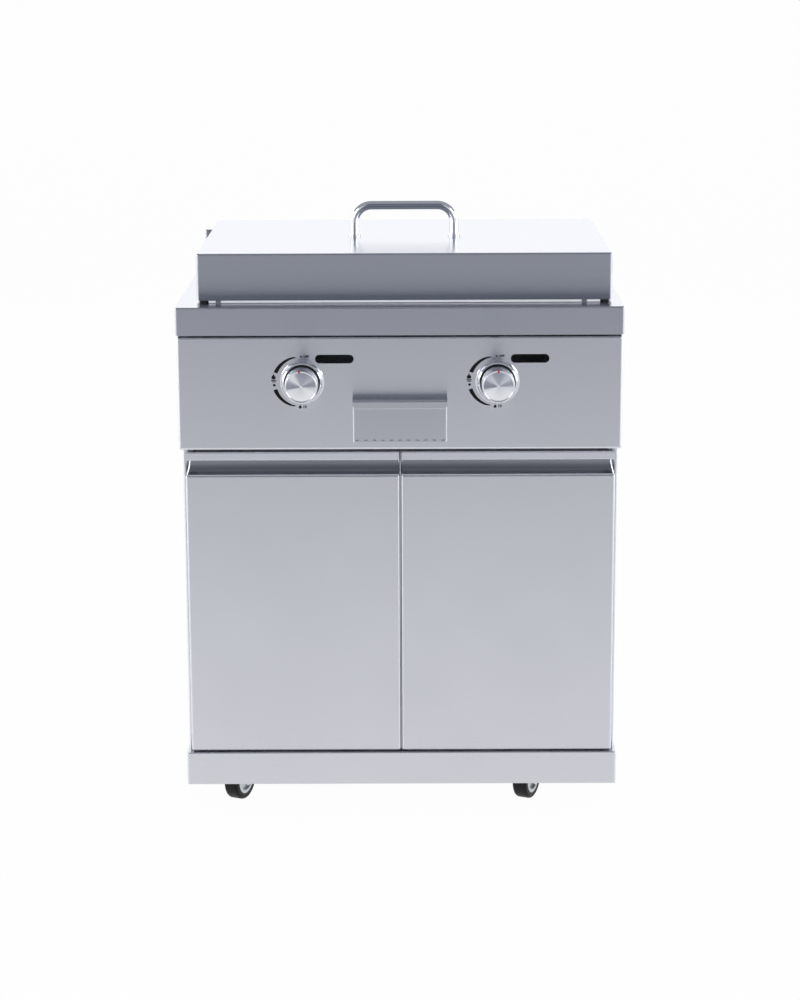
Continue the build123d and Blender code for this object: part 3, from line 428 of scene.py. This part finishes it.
def turned_face():
    finish, tree, place = new_finish("spun_knob_face")
    width = 2 * CAP_RADIUS * MM
    centred = vector_calc(tree, "SUBTRACT", place["Generated"], FACE_MIDDLE)
    flat = vector_calc(tree, "MULTIPLY", centred, (width, 0.0, width))
    grooves = add(
        tree, "ShaderNodeTexWave",
        {
            "Vector": flat,
            "Scale": per_mm(GROOVE_PITCH) * RING_SCALE,
            "Distortion": GROOVE_WANDER,
            "Detail": GROOVE_DETAIL,
        },
        wave_type="RINGS", rings_direction="Y",
    ).outputs
    sides = add(tree, "ShaderNodeSeparateXYZ", {0: centred}).outputs
    dial = add(tree, "ShaderNodeCombineXYZ", {"X": sides["X"], "Y": sides["Z"]}).outputs[0]
    turn = add(tree, "ShaderNodeTexGradient", {"Vector": dial}, gradient_type="RADIAL")
    # Painted highlights and shade: the wedges' colours, overlaid with the grooves.
    colours = wedge_colours(tree, turn.outputs["Fac"]), grooves["Color"]
    round_axis = add(tree, "ShaderNodeTangent", direction_type="RADIAL", axis="Y")
    principled(tree, {
        "Base Color": mix(tree, "RGBA", GROOVE_TINT, *colours, blend_type="OVERLAY"),
        "Metallic": 1.0,
        "Roughness": ranged(tree, grooves["Fac"], (0.0, 1.0), GROOVE_ROUGHNESS),
        "Anisotropic": GROOVE_STRETCH,
        "Anisotropic Rotation": QUARTER_TURN,
        "Normal": bump(tree, grooves["Fac"], GROOVE_RELIEF, GROOVE_DEPTH),
        "Tangent": round_axis.outputs[0],
    })
    return finish


# Metals that are neither brushed nor polished, with a mottle left by rolling, plating or grinding.
MOTTLE_SPAN = (0.25, 0.7)
MOTTLE_RELIEF = 0.15
GRAINS_PER_MOTTLE = 3
GRAIN_SHARE = 0.35


def mottled_metal(name, shades, mottle, roughness, depth):
    finish, tree, place = new_finish(name)
    cloud = noise(tree, place["Object"], per_mm(mottle), detail=6.0, roughness=0.6)
    grains = add(
        tree, "ShaderNodeTexVoronoi",
        {"Vector": place["Object"], "Scale": per_mm(mottle / GRAINS_PER_MOTTLE)},
    )
    blend = mix(tree, "FLOAT", GRAIN_SHARE, cloud, grains.outputs["Distance"])
    principled(tree, {
        "Base Color": mix(tree, "RGBA", blend, *map(linear, shades)),
        "Metallic": 1.0,
        "Roughness": ranged(tree, blend, MOTTLE_SPAN, roughness),
        "Normal": bump(tree, blend, MOTTLE_RELIEF, depth),
    })
    return finish


# Moulded rubber, plastic and glazed pieces: a fine moulded grain, lightened by dust or handling.
DUST_SPAN = (0.42, 0.8)
GRAINS_PER_DUST = 12
MOULD_RELIEF = 0.25


def moulded(name, shades, grain, roughness, depth, ior, shine=0.5):
    finish, tree, place = new_finish(name)
    skin = noise(tree, place["Object"], per_mm(grain), detail=3.0, roughness=0.55)
    dust = noise(tree, place["Object"], per_mm(GRAINS_PER_DUST * grain), detail=5.0, roughness=0.65)
    principled(tree, {
        "Base Color": mix(tree, "RGBA", ranged(tree, dust, DUST_SPAN), *map(linear, shades)),
        "Roughness": ranged(tree, dust, NOISE_MIDDLE, roughness),
        "IOR": ior,
        "Specular IOR Level": shine,
        "Normal": bump(tree, skin, MOULD_RELIEF, depth),
    })
    return finish


BELT_ROUGHNESS = (0.238, 0.248)
TOP_BELT_ROUGHNESS = (0.254, 0.266)

sheet_steel = brushed_stainless("brushed_stainless", ("#DADCE2", "#DDDFE5"), BELT_ROUGHNESS)
# The lid and worktop have a finer belt finish on top, which shows the handle's legs more sharply.
# Its shades are darker than the other sheet's: a shaded copy of the same steel, as painted shade on
# the lid and worktop.
top_steel_painted_shade = brushed_stainless(
    "brushed_stainless_top_painted_shade", ("#BFC2CB", "#C3C6CF"), TOP_BELT_ROUGHNESS, level_roughness=0.16
)
# The drawer front is drawn darker than the other sheet: a shaded copy of the same steel, as painted
# shade.
drawer_steel_painted_shade = brushed_stainless("brushed_stainless_drawer_painted_shade", ("#CCCED5", "#D0D2D9"), BELT_ROUGHNESS)
# The pull's sheet is drawn lighter than the other sheet, as painted light on its flange, and is
# darkened in its hollow as painted shade.
pull_steel_painted_light_and_shade = brushed_stainless(
    "brushed_stainless_pull_painted_light_and_shade", ("#E1E3EA", "#E5E7EE"), BELT_ROUGHNESS, hollow=HOLLOW_HEIGHTS
)
chrome = polished_chrome()
spun_face = turned_face()
slot_finishes = {
    "brushed_stainless": sheet_steel,
    # Mill-finish stainless inside the cabinet: rolled, not brushed, so dull and even.
    "mill_stainless": mottled_metal(
        "mill_stainless", ("#9A9CA0", "#B4B6BA"),
        mottle=30.0, roughness=(0.34, 0.46), depth=0.05,
    ),
    "polished_chrome": chrome,
    # Zinc plating on the casters, pins and screws: bright grey with a faint cloudy bloom.
    "zinc_plated_steel": mottled_metal(
        "zinc_plated_steel", ("#AEB2B6", "#D2D5D8"),
        mottle=9.0, roughness=(0.22, 0.4), depth=0.04,
    ),
    # Tyre rubber: moulded, matt, with pale dust from the floor.
    "tyre_rubber": moulded(
        "moulded_tyre_rubber", ("#0A0B0E", "#191A1E"),
        grain=1.2, roughness=(0.4, 0.55), depth=0.05, ior=1.52, shine=0.2,
    ),
    # Lid feet: moulded rubber, dark and dull.
    "foot_rubber": moulded(
        "moulded_foot_rubber", ("#121314", "#242526"),
        grain=1.0, roughness=(0.6, 0.8), depth=0.05, ior=1.52,
    ),
    # Griddle plate: ground flat and seasoned by heat, darker with a warm tint in patches.
    "griddle_steel": mottled_metal(
        "ground_griddle_steel", ("#6F6A66", "#9A9896"),
        mottle=40.0, roughness=(0.3, 0.5), depth=0.08,
    ),
    # Brass valve bodies: machined, warm yellow, a little tarnished.
    "valve_brass": mottled_metal(
        "machined_brass", ("#9C7B3C", "#C9A860"),
        mottle=8.0, roughness=(0.25, 0.42), depth=0.04,
    ),
    # Black plastic skirt: moulded ABS with a fine spark-eroded grain.
    "black_plastic": moulded(
        "moulded_black_abs", ("#0B0C0D", "#151618"),
        grain=0.9, roughness=(0.38, 0.52), depth=0.03, ior=1.53, shine=0.3,
    ),
    # Electrode sleeves: white glazed ceramic, glossy, faintly uneven.
    "glazed_ceramic": moulded(
        "glazed_ceramic", ("#E9E6DC", "#D8D3C5"),
        grain=2.5, roughness=(0.12, 0.25), depth=0.03, ior=1.55,
    ),
    # Bushes: moulded dark nylon, slightly waxy.
    "nylon": moulded(
        "moulded_nylon", ("#232427", "#37383B"),
        grain=1.5, roughness=(0.4, 0.55), depth=0.04, ior=1.53,
    ),
}
# Screen-printed enamel ink: dense black, slightly soft at the surface, rubbed thin in places.
panel_ink = moulded(
    "printed_enamel_ink", ("#08090B", "#121316"),
    grain=0.7, roughness=(0.4, 0.55), depth=0.01, ior=1.5, shine=0.15,
)
# Lid seal: extruded silicone, milky white, soft and slightly matt.
seal_silicone = moulded(
    "extruded_silicone", ("#FBFCFF", "#F1F2F6"),
    grain=1.5, roughness=(0.5, 0.65), depth=0.03, ior=1.41,
)
# Bumper strip: extruded grey rubber, matt.
strip_rubber = moulded(
    "extruded_grey_rubber", ("#B4B6BB", "#A6A8AD"),
    grain=1.5, roughness=(0.55, 0.7), depth=0.03, ior=1.52,
)
# Red enamel filled into the knob's pointer notch: glossy, with small worn patches.
pointer_enamel = moulded(
    "red_pointer_enamel", ("#C3263A", "#A81C30"),
    grain=0.8, roughness=(0.25, 0.4), depth=0.02, ior=1.52,
)

own_finishes = {
    "worktop": top_steel_painted_shade,
    "rear_upstand": top_steel_painted_shade,
    "lid_roof": top_steel_painted_shade,
    "lid_band": top_steel_painted_shade,
    "drawer_front": drawer_steel_painted_shade,
    "left_door_pull": pull_steel_painted_light_and_shade,
    "right_door_pull": pull_steel_painted_light_and_shade,
}


def finish_node(name):
    """Gives a CAD node the finish of each material slot it came with."""
    for at, old in enumerate(nodes[name].data.materials):
        slot = old.name.split(".")[0]
        nodes[name].data.materials[at] = own_finishes.get(name, slot_finishes[slot])


for node_name in nodes:
    finish_node(node_name)


# Pieces added to the solids

def piece_from(mesh, name, body, finishes):
    """Links a finished bmesh as a named piece that rides on a CAD body."""
    data = bpy.data.meshes.new(name)
    bmesh.ops.recalc_face_normals(mesh, faces=mesh.faces)
    mesh.to_mesh(data)
    mesh.free()
    for finish in finishes:
        data.materials.append(finish)
    piece = bpy.data.objects.new(name, data)
    bpy.context.scene.collection.objects.link(piece)
    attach(piece, body)
    return piece


def turns(count):
    """Angles that divide a full turn evenly."""
    return [2 * math.pi * step / count for step in range(count)]


def ring(mesh, outline):
    """Corners for the points of an outline in mm."""
    return [mesh.verts.new(Vector(point) * MM) for point in outline]


def band(mesh, near, far):
    """Faces that join two rings of equal count."""
    count = len(near)
    pairs = [(at, (at + 1) % count) for at in range(count)]
    return [mesh.faces.new((near[at], near[after], far[after], far[at])) for at, after in pairs]


def loft(mesh, outlines):
    """A closed skin over outlines of equal count, given as points in mm."""
    rings = [ring(mesh, outline) for outline in outlines]
    mesh.faces.new(rings[0])
    mesh.faces.new(rings[-1][::-1])
    for near, far in zip(rings, rings[1:]):
        band(mesh, near, far)


def extrusion(mesh, section, ends):
    """A closed (y, z) section in mm drawn from one x to another."""
    loft(mesh, [[(x, y, z) for y, z in section] for x in ends])


def lathe(mesh, profile, centre):
    """Turns a closed profile of (radius, distance in front of the panel, finish, smooth) points."""
    rings = []
    for radius, forward, _, _ in profile:
        rings.append(ring(mesh, [
            (
                centre[0] + radius * math.cos(turn),
                PANEL_FRONT - forward,
                centre[1] + radius * math.sin(turn),
            )
            for turn in turns(TURNING_STEPS)
        ]))
    for at, (_, _, finish, smooth) in enumerate(profile):
        for face in band(mesh, rings[at - 1], rings[at]):
            face.material_index = finish
            face.smooth = smooth


def cap_edge(outer, share):
    """A point of a knob cap's rounded edge, from its side at share 0 to its front at share 1."""
    turn = math.pi / 2 * share
    return (
        outer - CAP_EDGE + CAP_EDGE * math.cos(turn),
        CAP_FRONT - CAP_EDGE + CAP_EDGE * math.sin(turn),
    )


# Places of the cap's two finishes in its list.
CHROME_SIDE, SPUN_FACE = 0, 1


def knob_cap(word, side):
    """The knob's metal cap: a chromed side, a rounded edge, and a spun face just below its rim."""
    rear, front, outer = CAP_REAR, CAP_FRONT, CAP_RADIUS
    boss, bore_end = STEM_BORE + CAP_BOSS, front - CAP_WALL - CAP_BORE_END
    face_rim, face = outer - CAP_EDGE - CAP_RIM, front - CAP_FACE_SINK
    profile = [
        (STEM_BORE, rear, CHROME_SIDE, False),
        (boss, rear, CHROME_SIDE, False),
        (boss, front - CAP_WALL, CHROME_SIDE, False),
        (outer - CAP_WALL, front - CAP_WALL, CHROME_SIDE, False),
        (outer - CAP_WALL + CAP_FLARE, rear, CHROME_SIDE, False),
        (outer + CAP_FLARE, rear, CHROME_SIDE, False),
        (outer + CAP_FLARE - CAP_SIDE_BOW, rear + CAP_SIDE_EASE, CHROME_SIDE, True),
        (outer + CAP_SIDE_BOW, front - CAP_EDGE - CAP_SIDE_EASE, CHROME_SIDE, True),
    ]
    for step in range(1, CAP_EDGE_STEPS + 1):
        profile.append((*cap_edge(outer, step / CAP_EDGE_STEPS), CHROME_SIDE, True))
    profile += [
        (face_rim + CAP_RIM_SLOPE, front - CAP_RIM_DROP, CHROME_SIDE, True),
        (face_rim, face, CHROME_SIDE, False),
        (face_rim - CAP_FACE_EDGE, face, SPUN_FACE, False),
    ]
    for step in range(1, CAP_FACE_STEPS + 1):
        share = 1 - step / CAP_FACE_STEPS
        radius = max((face_rim - CAP_FACE_EDGE) * share, CAP_CENTRE)
        profile.append((radius, face + CAP_FACE_DOME * (1 - share * share), SPUN_FACE, True))
    profile += [
        (CAP_CENTRE, bore_end, CHROME_SIDE, False),
        (STEM_BORE, bore_end, CHROME_SIDE, False),
    ]
    mesh = bmesh.new()
    lathe(mesh, profile, (side * KNOB_X, KNOB_Z))
    piece = piece_from(
        mesh, word + "_knob_turned_cap", word + "_knob", [chrome, spun_face]
    )
    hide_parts(word + "_knob_cap")


def printed(mesh, outline, centre):
    """A printed shape: an (across, up) outline in mm on the panel's face, with some thickness."""
    loft(mesh, [
        [(centre[0] + across, PANEL_FRONT - proud, centre[1] + up) for across, up in outline]
        for proud in (INK_THICKNESS, INK_GAP)
    ])


def crescent(mesh, ends, centre):
    """A curved wedge that grows from its thin end to its thick end."""
    thin, thick = ends
    inner, outer = [], []
    for step in range(CRESCENT_STEPS + 1):
        share = step / CRESCENT_STEPS
        turn = math.radians(thin + (thick - thin) * share)
        grown = share ** CRESCENT_GROWTH
        near = CRESCENT_THIN_INNER + (CRESCENT_THICK_INNER - CRESCENT_THIN_INNER) * grown
        far = CRESCENT_THIN_OUTER + (CRESCENT_THICK_OUTER - CRESCENT_THIN_OUTER) * grown
        inner.append((near * math.cos(turn), near * math.sin(turn)))
        outer.append((far * math.cos(turn), far * math.sin(turn)))
    printed(mesh, inner + outer[::-1], centre)


def flame(mesh, mark, centre):
    across, up, height = mark
    printed(mesh, [(across + height * x, up + height * y) for x, y in FLAME_OUTLINE], centre)


def dot(mesh, mark, centre):
    across, up, radius = mark
    outline = [
        (across + radius * math.cos(turn), up + radius * math.sin(turn))
        for turn in turns(DOT_STEPS)
    ]
    printed(mesh, outline, centre)


def bar(mesh, mark, centre):
    across, up, width, height = mark
    corners = [(-0.5, -0.5), (0.5, -0.5), (0.5, 0.5), (-0.5, 0.5)]
    printed(mesh, [(across + width * x, up + height * y) for x, y in corners], centre)


def lettering(mesh, text, mark, centre):
    """Plain dial lettering, its lower left corner at the mark's place."""
    across, up, height = mark
    curve = bpy.data.curves.new("dial_lettering", "FONT")
    curve.body = text
    curve.size = height * MM / FONT_CAPITAL
    curve.extrude = INK_THICKNESS / 2 * MM
    curve.offset = LETTER_WEIGHT * MM
    holder = bpy.data.objects.new("dial_lettering", curve)
    bpy.context.scene.collection.objects.link(holder)
    bpy.context.view_layer.update()
    shown = holder.evaluated_get(bpy.context.evaluated_depsgraph_get())
    letters = bpy.data.meshes.new_from_object(shown)
    stand = Matrix.Rotation(math.radians(90), 4, "X")
    corner = Vector((centre[0] + across, PANEL_FRONT - LETTER_MIDDLE, centre[1] + up)) * MM
    letters.transform(Matrix.Translation(corner) @ stand)
    mesh.from_mesh(letters)
    bpy.data.meshes.remove(letters)
    bpy.data.objects.remove(holder)
    bpy.data.curves.remove(curve)


def knob_legend(word, side):
    """The printed marks round one knob: off at the top, high at the left, low at the bottom."""
    mesh = bmesh.new()
    centre = (side * KNOB_X, KNOB_Z)
    crescent(mesh, UPPER_CRESCENT, centre)
    crescent(mesh, LOWER_CRESCENT, centre)
    flame(mesh, HIGH_FLAME, centre)
    for mark in HIGH_BARS:
        bar(mesh, mark, centre)
    dot(mesh, HIGH_DOT, centre)
    dot(mesh, OFF_DOT, centre)
    lettering(mesh, "OFF", OFF_WORD, centre)
    flame(mesh, LOW_FLAME, centre)
    lettering(mesh, "10", LOW_NUMBER, centre)
    piece_from(mesh, word + "_knob_legend", "cabinet", [panel_ink])


def knob_pointer(word, side):
    """A red enamel stripe let into the knob's edge, at the top where the knob is off."""
    front, outer = CAP_FRONT, CAP_RADIUS + POINTER_PROUD
    face_rim, face = outer - CAP_EDGE - CAP_RIM, front - CAP_FACE_SINK
    end = front - CAP_EDGE - POINTER_REACH
    path = [
        (POINTER_INNER, face + POINTER_FACE_PROUD),
        (face_rim, face + POINTER_FACE_PROUD),
        (face_rim + CAP_RIM_SLOPE, front - POINTER_RIM_DROPS[0]),
        (outer - CAP_EDGE, front - POINTER_RIM_DROPS[1]),
    ]
    for step in range(1, POINTER_EDGE_STEPS + 1):
        path.append(cap_edge(outer, 1 - step / POINTER_EDGE_STEPS))
    path += [
        (outer + POINTER_SIDE_PROUD, end),
        (outer - POINTER_DEPTH, end),
        (outer - POINTER_DEPTH, face - POINTER_DEPTH),
        (POINTER_INNER, face - POINTER_DEPTH),
    ]
    outlines = []
    for step in range(POINTER_STRIPS + 1):
        aside = (step / POINTER_STRIPS - 0.5) * POINTER_WIDTH
        lean = math.radians(POINTER_LEAN[word]) + aside / CAP_RADIUS
        outlines.append([
            (
                side * KNOB_X + radius * math.sin(lean),
                PANEL_FRONT - forward,
                KNOB_Z + radius * math.cos(lean),
            )
            for radius, forward in path
        ])
    mesh = bmesh.new()
    loft(mesh, outlines)
    piece_from(mesh, word + "_knob_pointer", word + "_knob", [pointer_enamel])


def lid_seal():
    """A pale D-shaped seal glued under the lid's front edge between its feet."""
    mesh = bmesh.new()
    middle, half = (SEAL_FRONT + SEAL_BACK) / 2, (SEAL_BACK - SEAL_FRONT) / 2
    section = [(SEAL_FRONT, SEAL_TOP), (SEAL_BACK, SEAL_TOP)]
    for step in range(SEAL_STEPS + 1):
        turn = math.pi * step / SEAL_STEPS
        section.append((
            middle + half * math.cos(turn),
            SEAL_SHOULDER - (SEAL_SHOULDER - SEAL_BOTTOM) * math.sin(turn),
        ))
    extrusion(mesh, section, SEAL_ENDS)
    piece_from(mesh, "lid_front_seal", "lid", [seal_silicone])


def seal_clips():
    """Two small sheet clips in front of the lid's seal."""
    mesh = bmesh.new()
    front, back, low = SEAL_FRONT - CLIP_SHEET, SEAL_FRONT - CLIP_GAP, SEAL_SHOULDER
    section = [(front, SEAL_TOP), (front, low + CLIP_SHEET), (back, low), (back, SEAL_TOP)]
    for place in SEAL_CLIPS:
        extrusion(mesh, section, (place - CLIP_WIDTH / 2, place + CLIP_WIDTH / 2))
    piece_from(mesh, "lid_seal_clips", "lid", [sheet_steel])


def door_strip():
    """A grey bumper strip on the left door's free edge, which closes the gap to the other door."""
    mesh = bmesh.new()
    left, right = STRIP_SIDES
    section = [
        (left, STRIP_BACK), (left, STRIP_FRONT + STRIP_ROUND), (left + STRIP_ROUND, STRIP_FRONT),
        (right - STRIP_ROUND, STRIP_FRONT), (right, STRIP_FRONT + STRIP_ROUND), (right, STRIP_BACK),
    ]
    loft(mesh, [[(x, y, z) for x, y in section] for z in STRIP_ENDS])
    piece_from(mesh, "left_door_bumper_strip", "left_door", [strip_rubber])


def pull_web(word, side):
    """The bent leaf at the outer end of a door's pull channel, curving in from the door's edge."""
    mesh = bmesh.new()
    outlines = []
    for step in range(WEB_STEPS + 1):
        down = step / WEB_STEPS
        out, front, height = (
            head + (foot - head) * share
            for head, foot, share in zip(WEB_HEAD, WEB_FOOT, (down ** WEB_CURVE, down, down))
        )
        outlines.append([
            (side * (out - inward), front + back, height) for inward, back in WEB_OUTLINE
        ])
    loft(mesh, outlines)
    piece_from(mesh, word + "_door_pull_web", word + "_door", [sheet_steel])


def rim(radius, flats, turn):
    """Distance from the middle of a round ring, or of one with flats, to its rim."""
    if not flats:
        return radius
    half = math.pi / flats
    return radius / math.cos(turn % (2 * half) - half)


def back_screws(word, side):
    """Button-head socket screws through a side panel's rear fold into the back panel."""
    panel = [point.co / MM for point in nodes[word + "_side_panel"].data.vertices]
    x = side * (max(side * point.x for point in panel) - SCREW_INSET)
    seat = max(point.y for point in panel) + SCREW_SEAT_GAP
    low = min(point.z for point in panel) + SCREW_END
    high = max(point.z for point in panel) - SCREW_END
    mesh = bmesh.new()
    for at in range(SCREW_COUNT):
        z = low + (high - low) * at / (SCREW_COUNT - 1)
        outlines = []
        for radius, proud, flats in SCREW_PROFILE:
            reaches = [(rim(radius, flats, turn), turn) for turn in turns(SCREW_STEPS)]
            outlines.append([
                (x + reach * math.cos(turn), seat + proud, z + reach * math.sin(turn))
                for reach, turn in reaches
            ])
        loft(mesh, outlines)
    zinc = slot_finishes["zinc_plated_steel"]
    piece_from(mesh, word + "_back_screws", "cabinet", [zinc])


lid_seal()
seal_clips()
door_strip()
for word, side in SIDES:
    back_screws(word, side)
    pull_web(word, side)
    knob_cap(word, side)
    knob_legend(word, side)
    knob_pointer(word, side)


# Studio: white paper curving up behind the object, a darker room behind the camera, soft lamps

def paper_finish():
    """Matt white paper that the eye and the metal see as plain white, with a soft shadow on it."""
    finish, tree, place = new_finish("white_studio_paper")
    fibres = noise(tree, place["Object"], per_mm(PAPER_FIBRE), detail=4.0)
    matt = add(
        tree, "ShaderNodeBsdfPrincipled",
        {
            "Base Color": linear(PAPER_WHITE),
            "Roughness": ranged(tree, fibres, (0.0, 1.0), PAPER_ROUGHNESS),
            "Specular IOR Level": PAPER_SHINE,
        },
    )
    glow = add(tree, "ShaderNodeEmission", {"Color": linear(ROOM_WHITE), "Strength": 1.0})
    ray = add(tree, "ShaderNodeLightPath").outputs
    seen = calc(tree, "MAXIMUM", ray["Is Camera Ray"], ray["Is Glossy Ray"])
    seen = calc(tree, "MAXIMUM", seen, ray["Is Transmission Ray"])
    share = calc(tree, "MULTIPLY", seen, PAPER_GLOW)
    surface = add(tree, "ShaderNodeMixShader", {0: share, 1: matt.outputs[0], 2: glow.outputs[0]})
    add(tree, "ShaderNodeOutputMaterial", {"Surface": surface.outputs[0]})
    return finish


def studio_paper():
    line = [(PAPER_FRONT_M, 0.0), (PAPER_BEND_START_M, 0.0)]
    for step in range(1, PAPER_BEND_STEPS + 1):
        turn = math.pi / 2 * step / PAPER_BEND_STEPS
        line.append((
            PAPER_BEND_START_M + PAPER_BEND_RADIUS_M * math.sin(turn),
            PAPER_BEND_RADIUS_M * (1 - math.cos(turn)),
        ))
    line.append((PAPER_BEND_START_M + PAPER_BEND_RADIUS_M, PAPER_TOP_M))
    mesh = bmesh.new()
    ends = (-PAPER_HALF_WIDTH_M, PAPER_HALF_WIDTH_M)
    rows = [[mesh.verts.new((x, y, z)) for x in ends] for y, z in line]
    for near, far in zip(rows, rows[1:]):
        mesh.faces.new((near[0], near[1], far[1], far[0])).smooth = True
    data = bpy.data.meshes.new("studio_paper")
    mesh.to_mesh(data)
    mesh.free()
    data.materials.append(paper_finish())
    paper = bpy.data.objects.new("studio_paper", data)
    bpy.context.scene.collection.objects.link(paper)


def studio_room():
    """A room with white walls, a grey ceiling, and no light behind the camera."""
    world = bpy.data.worlds.new("studio_room")
    bpy.context.scene.world = world
    world.use_nodes = True
    tree = world.node_tree
    tree.nodes.clear()

    def zone(value, span):
        return ranged(tree, value, span, interpolation_type="SMOOTHSTEP")

    place = add(tree, "ShaderNodeTexCoord").outputs
    heading = add(tree, "ShaderNodeSeparateXYZ", {0: place["Generated"]}).outputs
    straight_on = zone(calc(tree, "ABSOLUTE", heading["X"]), STRAIGHT_ON_X)
    in_front = calc(tree, "MULTIPLY", straight_on, zone(heading["Y"], FORWARD_Y))
    in_front = calc(tree, "MULTIPLY", in_front, zone(heading["Z"], BELOW_CEILING_Z))
    overhead = zone(heading["Z"], OVERHEAD_Z)
    above_floor = zone(heading["Z"], ABOVE_FLOOR_Z)
    walls = mix(tree, "RGBA", overhead, linear(ROOM_WHITE), linear(ROOM_CEILING))
    front = mix(tree, "RGBA", above_floor, linear(ROOM_FRONT_LOW), linear(ROOM_FRONT_HIGH))
    colour = mix(tree, "RGBA", in_front, walls, front)
    glow = add(tree, "ShaderNodeBackground", {"Color": colour, "Strength": 1.0})
    add(tree, "ShaderNodeOutputWorld", {"Surface": glow.outputs[0]})


def softbox(name, lamp_m, brightness, side=1):
    """A flat lamp whose face has the given brightness, where 1 is white paper."""
    (across, back, up), aim, width, height = lamp_m
    place = Vector((side * across, back, up))
    lamp = bpy.data.lights.new(name, "AREA")
    lamp.shape = "RECTANGLE"
    lamp.size = width
    lamp.size_y = height
    lamp.energy = brightness * math.pi * width * height
    holder = bpy.data.objects.new(name, lamp)
    holder.location = place
    holder.rotation_euler = (Vector(aim) - place).to_track_quat("-Z", "Y").to_euler()
    bpy.context.scene.collection.objects.link(holder)


def photo_camera():
    data = bpy.data.cameras.new("photo_camera")
    data.sensor_fit = "AUTO"
    data.sensor_width = SENSOR
    data.lens = CAMERA_LENS
    camera = bpy.data.objects.new("photo_camera", data)
    yaw = Matrix.Rotation(math.radians(CAMERA_YAW), 4, "Z")
    pitch = Matrix.Rotation(math.radians(90 - CAMERA_PITCH), 4, "X")
    roll = Matrix.Rotation(math.radians(CAMERA_ROLL), 4, "Z")
    camera.matrix_world = Matrix.Translation(CAMERA_PLACE_M) @ yaw @ pitch @ roll
    bpy.context.scene.collection.objects.link(camera)
    bpy.context.scene.camera = camera


studio_paper()
studio_room()
softbox("rear_softbox", REAR_LAMP_M, REAR_BRIGHTNESS)
for word, side in SIDES:
    softbox(word + "_front_softbox", FRONT_LAMP_M, FRONT_BRIGHTNESS, side)
    softbox(word + "_side_softbox", SIDE_LAMP_M, SIDE_BRIGHTNESS, side)
photo_camera()
bpy.context.scene.view_settings.view_transform = "Standard"
